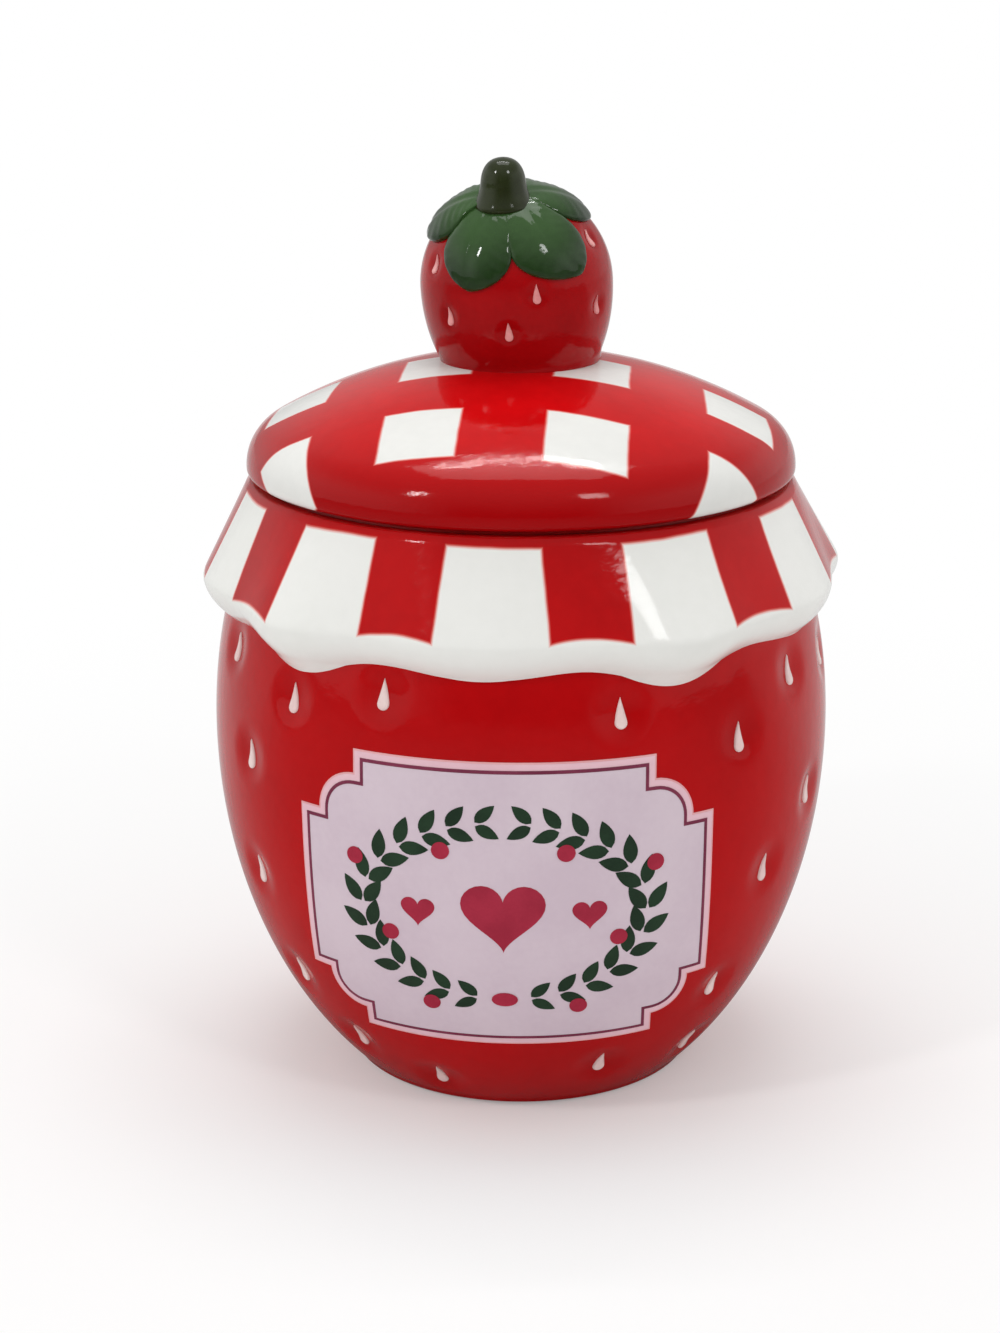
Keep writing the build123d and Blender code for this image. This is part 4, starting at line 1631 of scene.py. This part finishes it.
def brush_group() -> bpy.types.NodeTree:
    """Shader group of a hand-painted edge: where the paint is, and the line where it bleeds."""
    g, given, target = open_group(
        "brush_edge", "ShaderNodeTree",
        [("Vector", VECTOR), ("Distance", FLOAT), ("Wobble", FLOAT), ("Bleed", FLOAT)],
        [("Paint", FLOAT), ("Line", FLOAT)],
    )
    edge, bleed = given["Distance"], given["Bleed"]
    for count, sway in BRUSH_WAVES:
        edge = edge + (g.noise(given["Vector"], count, 1.0) - 0.5) * given["Wobble"] * sway
    g.feed(target.inputs["Paint"], 1.0 - g.ramp(edge, -BRUSH_SOFT, BRUSH_SOFT))
    g.feed(target.inputs["Line"], 1.0 - g.ramp(abs(edge), bleed * BLEED_CORE, bleed))
    return g.tree


SUBSURFACE_DEPTH = 2 * MM
RIPPLE_HEIGHT = 1.5 * MM


@dataclass(frozen=True)
class Groups:
    """The shared shader groups."""

    flow: bpy.types.NodeTree
    brush: bpy.types.NodeTree


@dataclass(frozen=True)
class Glaze:
    """A glaze of one colour that deepens where it pools; in dimples the deepening is glaze pooling
    together with painted shade.
    """

    name: str
    colour: Colour
    deep: Colour
    shine: float = 0.05
    scale: float = 1.0
    ripple: float = 0.12
    level: float = 0.18
    # weight of the deeper colour in dimples: glaze pooling together with painted shade
    dimple: float = 0.0
    dimple_pool: float = 0.7
    under: float = 0.0

    def paint(self, g: Graph, where: Wire, groups: Groups, pool: Wire) -> Wire:
        """Colour over the surface.

        Args:
            g: The material's graph.
            where: Object coordinates.
            groups: The shared shader groups.
            pool: Where the glaze pools.

        Returns:
            The colour.
        """
        share = pool
        # Deeper colour in the dimples: glaze pooling in the hollows, together with painted shade.
        if self.dimple:
            share = weighed((pool, g.stored("dimple")), (self.dimple_pool, self.dimple))
            share = g.math("MINIMUM", share, 1.0)
        return g.blend(share, self.colour, self.deep)

    def build(self, groups: Groups) -> bpy.types.Material:
        """Makes the material."""
        finish = bpy.data.materials.new(self.name)
        finish.use_nodes = True
        g = Graph(finish.node_tree)
        shader = finish.node_tree.nodes["Principled BSDF"]
        where = g.read("ShaderNodeTexCoord", "Object")
        flow = g.group(groups.flow, Vector=where, Scale=self.scale, Shine=self.shine)
        g.feed(shader.inputs["Base Color"], self.paint(g, where, groups, flow["Pool"]))
        g.feed(shader.inputs["Roughness"], flow["Roughness"])
        shader.inputs["Specular IOR Level"].default_value = self.level
        if self.under:
            shader.inputs["Subsurface Weight"].default_value = self.under
            shader.inputs["Subsurface Scale"].default_value = SUBSURFACE_DEPTH
        bump = g.node("ShaderNodeBump")
        bump.inputs["Strength"].default_value = self.ripple
        bump.inputs["Distance"].default_value = RIPPLE_HEIGHT
        g.feed(bump.inputs["Height"], flow["Ripple"])
        g.feed(shader.inputs["Normal"], Wire(g, bump.outputs[0]))
        return finish


@dataclass(frozen=True)
class BrushedGlaze(Glaze):
    """Red and white glaze that meet at a hand-painted edge."""

    white: Colour = srgb(240, 240, 236)
    white_deep: Colour = srgb(214, 214, 210)
    white_pool: float = 0.35
    bleed: Colour = srgb(232, 120, 112)
    bleed_w: float = 0.35
    line: float = 0.55
    wobble: float = 0.7

    def shades(self, g: Graph, pool: Wire) -> tuple[Wire, Wire]:
        """Red and white, each deeper where the glaze pools."""
        white = g.blend(pool * self.white_pool, self.white, self.white_deep)
        return g.blend(pool, self.colour, self.deep), white

    def brushed(
        self, g: Graph, where: Wire, groups: Groups, distance: Wire, ground: Wire, paint: Wire
    ) -> Wire:
        """Paints one colour over another.

        Args:
            g: The material's graph.
            where: Object coordinates.
            groups: The shared shader groups.
            distance: Distance outside the painted shape, in millimetres.
            ground: The colour outside it.
            paint: The colour inside it.

        Returns:
            The colour, with a line of bleeding along the edge.
        """
        edge = g.group(
            groups.brush, Vector=where, Distance=distance, Wobble=self.wobble, Bleed=self.bleed_w
        )
        painted = g.blend(edge["Paint"], ground, paint)
        return g.blend(edge["Line"] * self.line, painted, self.bleed)


@dataclass(frozen=True)
class CheckedGlaze(BrushedGlaze):
    """Red glaze with white checks left in rows, laid over the dome as a cloth would lie, and
    painted shade that deepens the red towards the rim.
    """

    column: float = 12.7
    column_step: float = 29.4
    column_half: float = 7.3
    row: float = -36.8
    row_step: float = 29.3
    row_half: float = 7.5
    slant: float = 0.12
    bow: float = -0.0006
    fan: Point = (0.075, -0.0022)
    crowd: float = 0.0011
    fan_from: float = 20.0
    rim: Point = (52.0, 58.0)
    # painted shade: from this radius the red darkens towards the rim
    rim_shade_from: float = 38.0
    rim_drop: float = 3.0
    last_row: float = -19.2
    # painted shade: the deep red at the rim, where the lid's lower front turns from the light
    rim_shade_red: Colour = srgb(164, 5, 9)

    def paint(self, g: Graph, where: Wire, groups: Groups, pool: Wire) -> Wire:
        """Red with white checks."""
        x, y, _ = g.split(where)
        stretch = g.stored("drape") * PER_METRE
        u, v = x * stretch, y * stretch
        half_c, half_r = self.column_step / 2, self.row_step / 2
        fanned = (u * self.fan[1] + self.fan[0]) * (v + self.fan_from)
        spread_u = u + u * abs(u) * self.crowd - fanned
        across = abs(g.math("WRAP", spread_u - self.column, half_c, -half_c)) - self.column_half
        reach = g.math("SQRT", u * u + v * v)
        level = g.math("MAXIMUM", v + u * (u * self.bow + self.slant) - self.row, self.last_row)
        lap = g.math("WRAP", level, half_r, -half_r)
        hang = g.ramp(reach, *self.rim) * g.math("LESS_THAN", lap, 0.0) * self.rim_drop
        down = abs(lap) - hang - self.row_half
        red, white = self.shades(g, pool)
        # Painted shade: the red deepens towards the rim, where the lid's lower front faces away
        # from the light.
        red = g.blend(g.ramp(reach, self.rim_shade_from, self.rim[1]), red, self.rim_shade_red)
        check = g.math("MAXIMUM", across, down)
        return self.brushed(g, where, groups, check, red, white)


@dataclass(frozen=True)
class StripedGlaze(BrushedGlaze):
    """White glaze with red stripes down the folds and a red band along the top."""

    white: Colour = srgb(243, 243, 239)
    white_deep: Colour = srgb(228, 229, 223)
    white_pool: float = 0.4
    bleed: Colour = srgb(236, 128, 118)
    line: float = 0.5
    wobble: float = 0.5
    first: float = 11.36
    crowd: Point = (3.6, 1.3)
    half_top: float = 6.45
    half_low: float = 7.0
    top_z: float = 112.3
    ridge_z: float = 95.3
    band_z: float = 110.9
    arch: float = 0.9
    end_rise: float = 0.3
    stripes: int = 11
    limb_shift: float = 2.4
    limb_wide: float = 0.34

    def paint(self, g: Graph, where: Wire, groups: Groups, pool: Wire) -> Wire:
        """White with red stripes."""
        x, y, z = g.split(where)
        high = z * PER_METRE
        half = math.pi / self.stripes
        azimuth = g.math("ARCTAN2", x, y * -1.0)
        open_back = (1.0 - g.math("COSINE", azimuth)) * math.radians(self.crowd[0])
        side_way = g.math("SINE", azimuth)
        limb = (side_way * side_way * side_way) ** 3.0
        shift = side_way * math.radians(self.crowd[1]) + limb * math.radians(self.limb_shift)
        even = azimuth - open_back - shift
        turn = g.math("WRAP", even - math.radians(self.first), half, -half)
        radius = g.math("SQRT", x * x + y * y) * PER_METRE
        down = (self.top_z - high) / (self.top_z - self.ridge_z)
        plain = down * (self.half_low - self.half_top) + self.half_top
        wide = plain * (abs(limb) * self.limb_wide + 1.0)
        share = turn * radius / wide
        side = abs(turn * radius) - wide
        end = self.ridge_z + self.end_rise + (1.0 - share * share) * self.arch
        stripe = g.math("MAXIMUM", side, end - high)
        shape = g.math("MINIMUM", stripe, self.band_z - high)
        red, white = self.shades(g, pool)
        return self.brushed(g, where, groups, shape, white, red)


@dataclass(frozen=True)
class LeafGlaze(Glaze):
    """Green glaze with painted shade that darkens it towards the tips and edges of the leaves."""

    edge_shade_share: float = 0.12
    # painted shade: where along the leaf the darkening starts and ends
    run: Point = (0.3, 0.95)
    shade_and_pool_shares: Point = (0.75, 0.35)

    def paint(self, g: Graph, where: Wire, groups: Groups, pool: Wire) -> Wire:
        """Green, with painted shade deeper towards the tips."""
        down = g.stored("along") + abs(g.stored("across")) * self.edge_shade_share
        # Painted shade: the leaves darken towards their tips and edges, which turn down and away
        # from the light.
        share = weighed((g.ramp(down, *self.run), pool), self.shade_and_pool_shares)
        return g.blend(g.math("MINIMUM", share, 1.0), self.colour, self.deep)


@dataclass(frozen=True)
class Print(Glaze):
    """A fired print on the label, flatter than the glaze."""

    shine: float = 0.2
    scale: float = 5.0
    ripple: float = 0.05


@dataclass(frozen=True)
class Stage:
    """Camera, lamps, floor and background."""

    floor: Colour = (0.94, 0.935, 0.93, 1.0)
    floor_in_glaze: Colour = (0.36, 0.35, 0.35, 1.0)
    floor_rough: float = 0.9
    floor_level: float = 0.1
    ambient: float = 0.08
    zenith: float = 0.52
    zenith_step: Point = (0.0, 0.9)
    behind: float = 0.32
    behind_step: Point = (0.2, 0.9)
    sides: float = 0.75
    sides_step: Point = (0.35, 0.95)
    walls_end: Point = (0.3, 0.75)
    aim_z: float = 0.09
    lens: float = 71.9
    lens_shift: float = -0.0158
    lens_near: float = 0.01
    eye: Triple = (0.0, -0.480, 0.2204)
    look_down: float = 16.87
    floor_half: float = 6.0
    fade: Point = (-0.12, 0.34)
    mirrored: Point = (-0.05, 0.15)
    mirror_share: float = 0.6
    lamps: tuple[tuple[str, float, float, float, Point, float], ...] = (
        ("overhead", 180, 82, 1.0, (0.7, 0.5), 2.9),
        ("tube", 182, 71, 0.85, (0.42, 0.01), 0.6),
        ("window_left", -48, 38, 1.0, (0.08, 0.15), 1.6),
        ("window_right", 33, 41, 1.0, (0.15, 0.17), 1.15),
    )

    def lamp(
        self, name: str, azimuth: float, rise: float, away: float, size: Point, power: float
    ) -> None:
        """Soft box that looks at the pot.

        Args:
            name: The lamp's name.
            azimuth: Degrees from the front.
            rise: Degrees above the horizon.
            away: Distance in metres.
            size: Width and height in metres.
            power: Watts.
        """
        light = bpy.data.lights.new(name, "AREA")
        light.shape = "RECTANGLE"
        light.size, light.size_y = size
        light.energy = power
        thing = bpy.data.objects.new(name, light)
        a, e = math.radians(azimuth), math.radians(rise)
        spot = Vector((math.sin(a) * math.cos(e), -math.cos(a) * math.cos(e), math.sin(e))) * away
        thing.location = spot + Vector((0, 0, self.aim_z))
        thing.rotation_euler = (-spot).to_track_quat("-Z", "Y").to_euler()
        bpy.context.scene.collection.objects.link(thing)

    def camera(self) -> None:
        """Camera at the photograph's angle."""
        lens = bpy.data.cameras.new("camera")
        lens.lens = self.lens
        lens.shift_x = self.lens_shift
        lens.clip_start = self.lens_near
        thing = bpy.data.objects.new("camera", lens)
        thing.location = self.eye
        thing.rotation_euler = (math.radians(90 - self.look_down), 0, 0)
        bpy.context.scene.collection.objects.link(thing)
        bpy.context.scene.camera = thing

    def ground(self) -> None:
        """Pale floor that keeps the shadow near the pot and fades to white far off."""
        mesh = bpy.data.meshes.new("floor")
        half = self.floor_half
        corners = [(-half, -half, 0), (half, -half, 0), (half, half, 0), (-half, half, 0)]
        mesh.from_pydata(corners, [], [(0, 1, 2, 3)])
        finish = bpy.data.materials.new("floor_paper")
        finish.use_nodes = True
        g = Graph(finish.node_tree)
        shader = finish.node_tree.nodes["Principled BSDF"]
        shader.inputs["Roughness"].default_value = self.floor_rough
        shader.inputs["Specular IOR Level"].default_value = self.floor_level
        white = g.node("ShaderNodeEmission")
        x, y, _ = g.split(g.read("ShaderNodeTexCoord", "Object"))
        glossy = g.read("ShaderNodeLightPath", "Is Glossy Ray")
        g.feed(shader.inputs["Base Color"], g.blend(glossy, self.floor, self.floor_in_glaze))
        behind = glossy * g.ramp(y, *self.mirrored) * self.mirror_share
        seen = g.math("MAXIMUM", g.read("ShaderNodeLightPath", "Is Camera Ray"), behind)
        far = g.ramp(g.math("SQRT", x * x + y * y), *self.fade)
        mix = g.node("ShaderNodeMixShader")
        g.feed(mix.inputs[0], far * seen)
        g.feed(mix.inputs[1], Wire(g, shader.outputs[0]))
        g.feed(mix.inputs[2], Wire(g, white.outputs[0]))
        g.feed(finish.node_tree.nodes["Material Output"].inputs["Surface"], Wire(g, mix.outputs[0]))
        floor = show("floor", mesh, finish)

    def sky(self) -> None:
        """White background, and soft light from above, behind and both sides."""
        world = bpy.data.worlds.new("studio")
        bpy.context.scene.world = world
        world.use_nodes = True
        g = Graph(world.node_tree)
        camera, through = (
            g.read("ShaderNodeLightPath", name) for name in ("Is Camera Ray", "Is Transmission Ray")
        )
        seen = g.math("MAXIMUM", camera, through)
        side_way, back_way, up_way = g.split(g.read("ShaderNodeTexCoord", "Generated"))
        sides = g.ramp(abs(side_way), *self.sides_step) * self.sides
        walls = g.ramp(back_way, *self.behind_step) * self.behind + sides
        above = self.ambient + g.ramp(up_way, *self.zenith_step) * self.zenith
        level = above + walls * (1.0 - g.ramp(up_way, *self.walls_end))
        back = world.node_tree.nodes["Background"]
        back.inputs["Color"].default_value = (1, 1, 1, 1)
        g.feed(back.inputs["Strength"], level + seen * (1.0 - level))

    def build(self) -> None:
        """Sets the stage."""
        self.camera()
        self.ground()
        self.sky()
        for lamp in self.lamps:
            self.lamp(*lamp)
        bpy.context.scene.view_settings.view_transform = "Standard"


def finishes() -> dict[str, bpy.types.Material]:
    """Every finish by its short name."""
    groups = Groups(flow_group(), brush_group())
    glazes = {
        "pot": Glaze("pot_red", srgb(188, 10, 14), srgb(168, 6, 10), dimple=0.35),
        "inside": Glaze("inside_white", srgb(236, 236, 230), srgb(222, 221, 213)),
        "bare": Glaze(
            "bare_clay", srgb(226, 215, 199), srgb(205, 192, 174), shine=0.72, scale=3.0, level=0.25
        ),
        "checks": CheckedGlaze("checked_red", srgb(214, 13, 17), srgb(194, 8, 12)),
        "stripes": StripedGlaze("striped_white", srgb(192, 10, 14), srgb(172, 5, 9)),
        "seed": Glaze("seed_cream", srgb(246, 226, 222), srgb(238, 206, 203), 0.1, 4.0),
        "berry": Glaze("berry_red", srgb(172, 10, 15), srgb(142, 5, 9), scale=2.0, dimple=0.5),
        "berry_seed": Glaze("seed_pink", srgb(240, 176, 172), srgb(226, 140, 140), 0.1, 6.0),
        "leaf": LeafGlaze(
            "leaf_green", srgb(58, 90, 46), srgb(25, 46, 19), scale=2.0, ripple=0.06, level=0.34
        ),
        "stem": Glaze(
            "stem_green", srgb(46, 54, 27), srgb(32, 37, 17), scale=2.0, ripple=0.06, level=0.3
        ),
        "rim": Print("label_rim", srgb(240, 184, 186), srgb(232, 168, 172), 0.14, 3.0),
        "margin": Print("label_margin", srgb(240, 200, 210), srgb(233, 190, 201), 0.14, 2.0),
        "field": Print("label_field", srgb(222, 205, 215), srgb(214, 195, 207), 0.16, 2.0),
        "ink": Print("label_ink", srgb(134, 58, 82), srgb(116, 47, 70)),
        "print_leaf": Print("print_green", srgb(40, 64, 44), srgb(31, 50, 35)),
        "print_rose": Print("print_rose", srgb(178, 46, 70), srgb(160, 37, 60)),
        "seal": Glaze(
            "seal_soft", srgb(228, 227, 221), srgb(215, 214, 208), shine=0.42, scale=4.0, under=0.3
        ),
    }
    return {name: glaze.build(groups) for name, glaze in glazes.items()}


def main() -> None:
    """Builds the pot piece by piece and sets the stage."""
    logging.basicConfig(level=logging.INFO, format="%(name)s: %(message)s")
    looks = finishes()
    seeds = scatter_tree()
    pot = Pot()
    pot.build(looks, seeds)
    Frill(pot).build(looks["stripes"], fold_tree())
    Label(pot).build(looks)
    lid = Lid()
    lid.build(looks)
    Seal(lid).build(looks["seal"])
    berry = Berry(lid)
    berry.build(looks, seeds)
    Calyx(berry).build(looks)
    Stage().build()


if __name__ == "__main__":
    main()
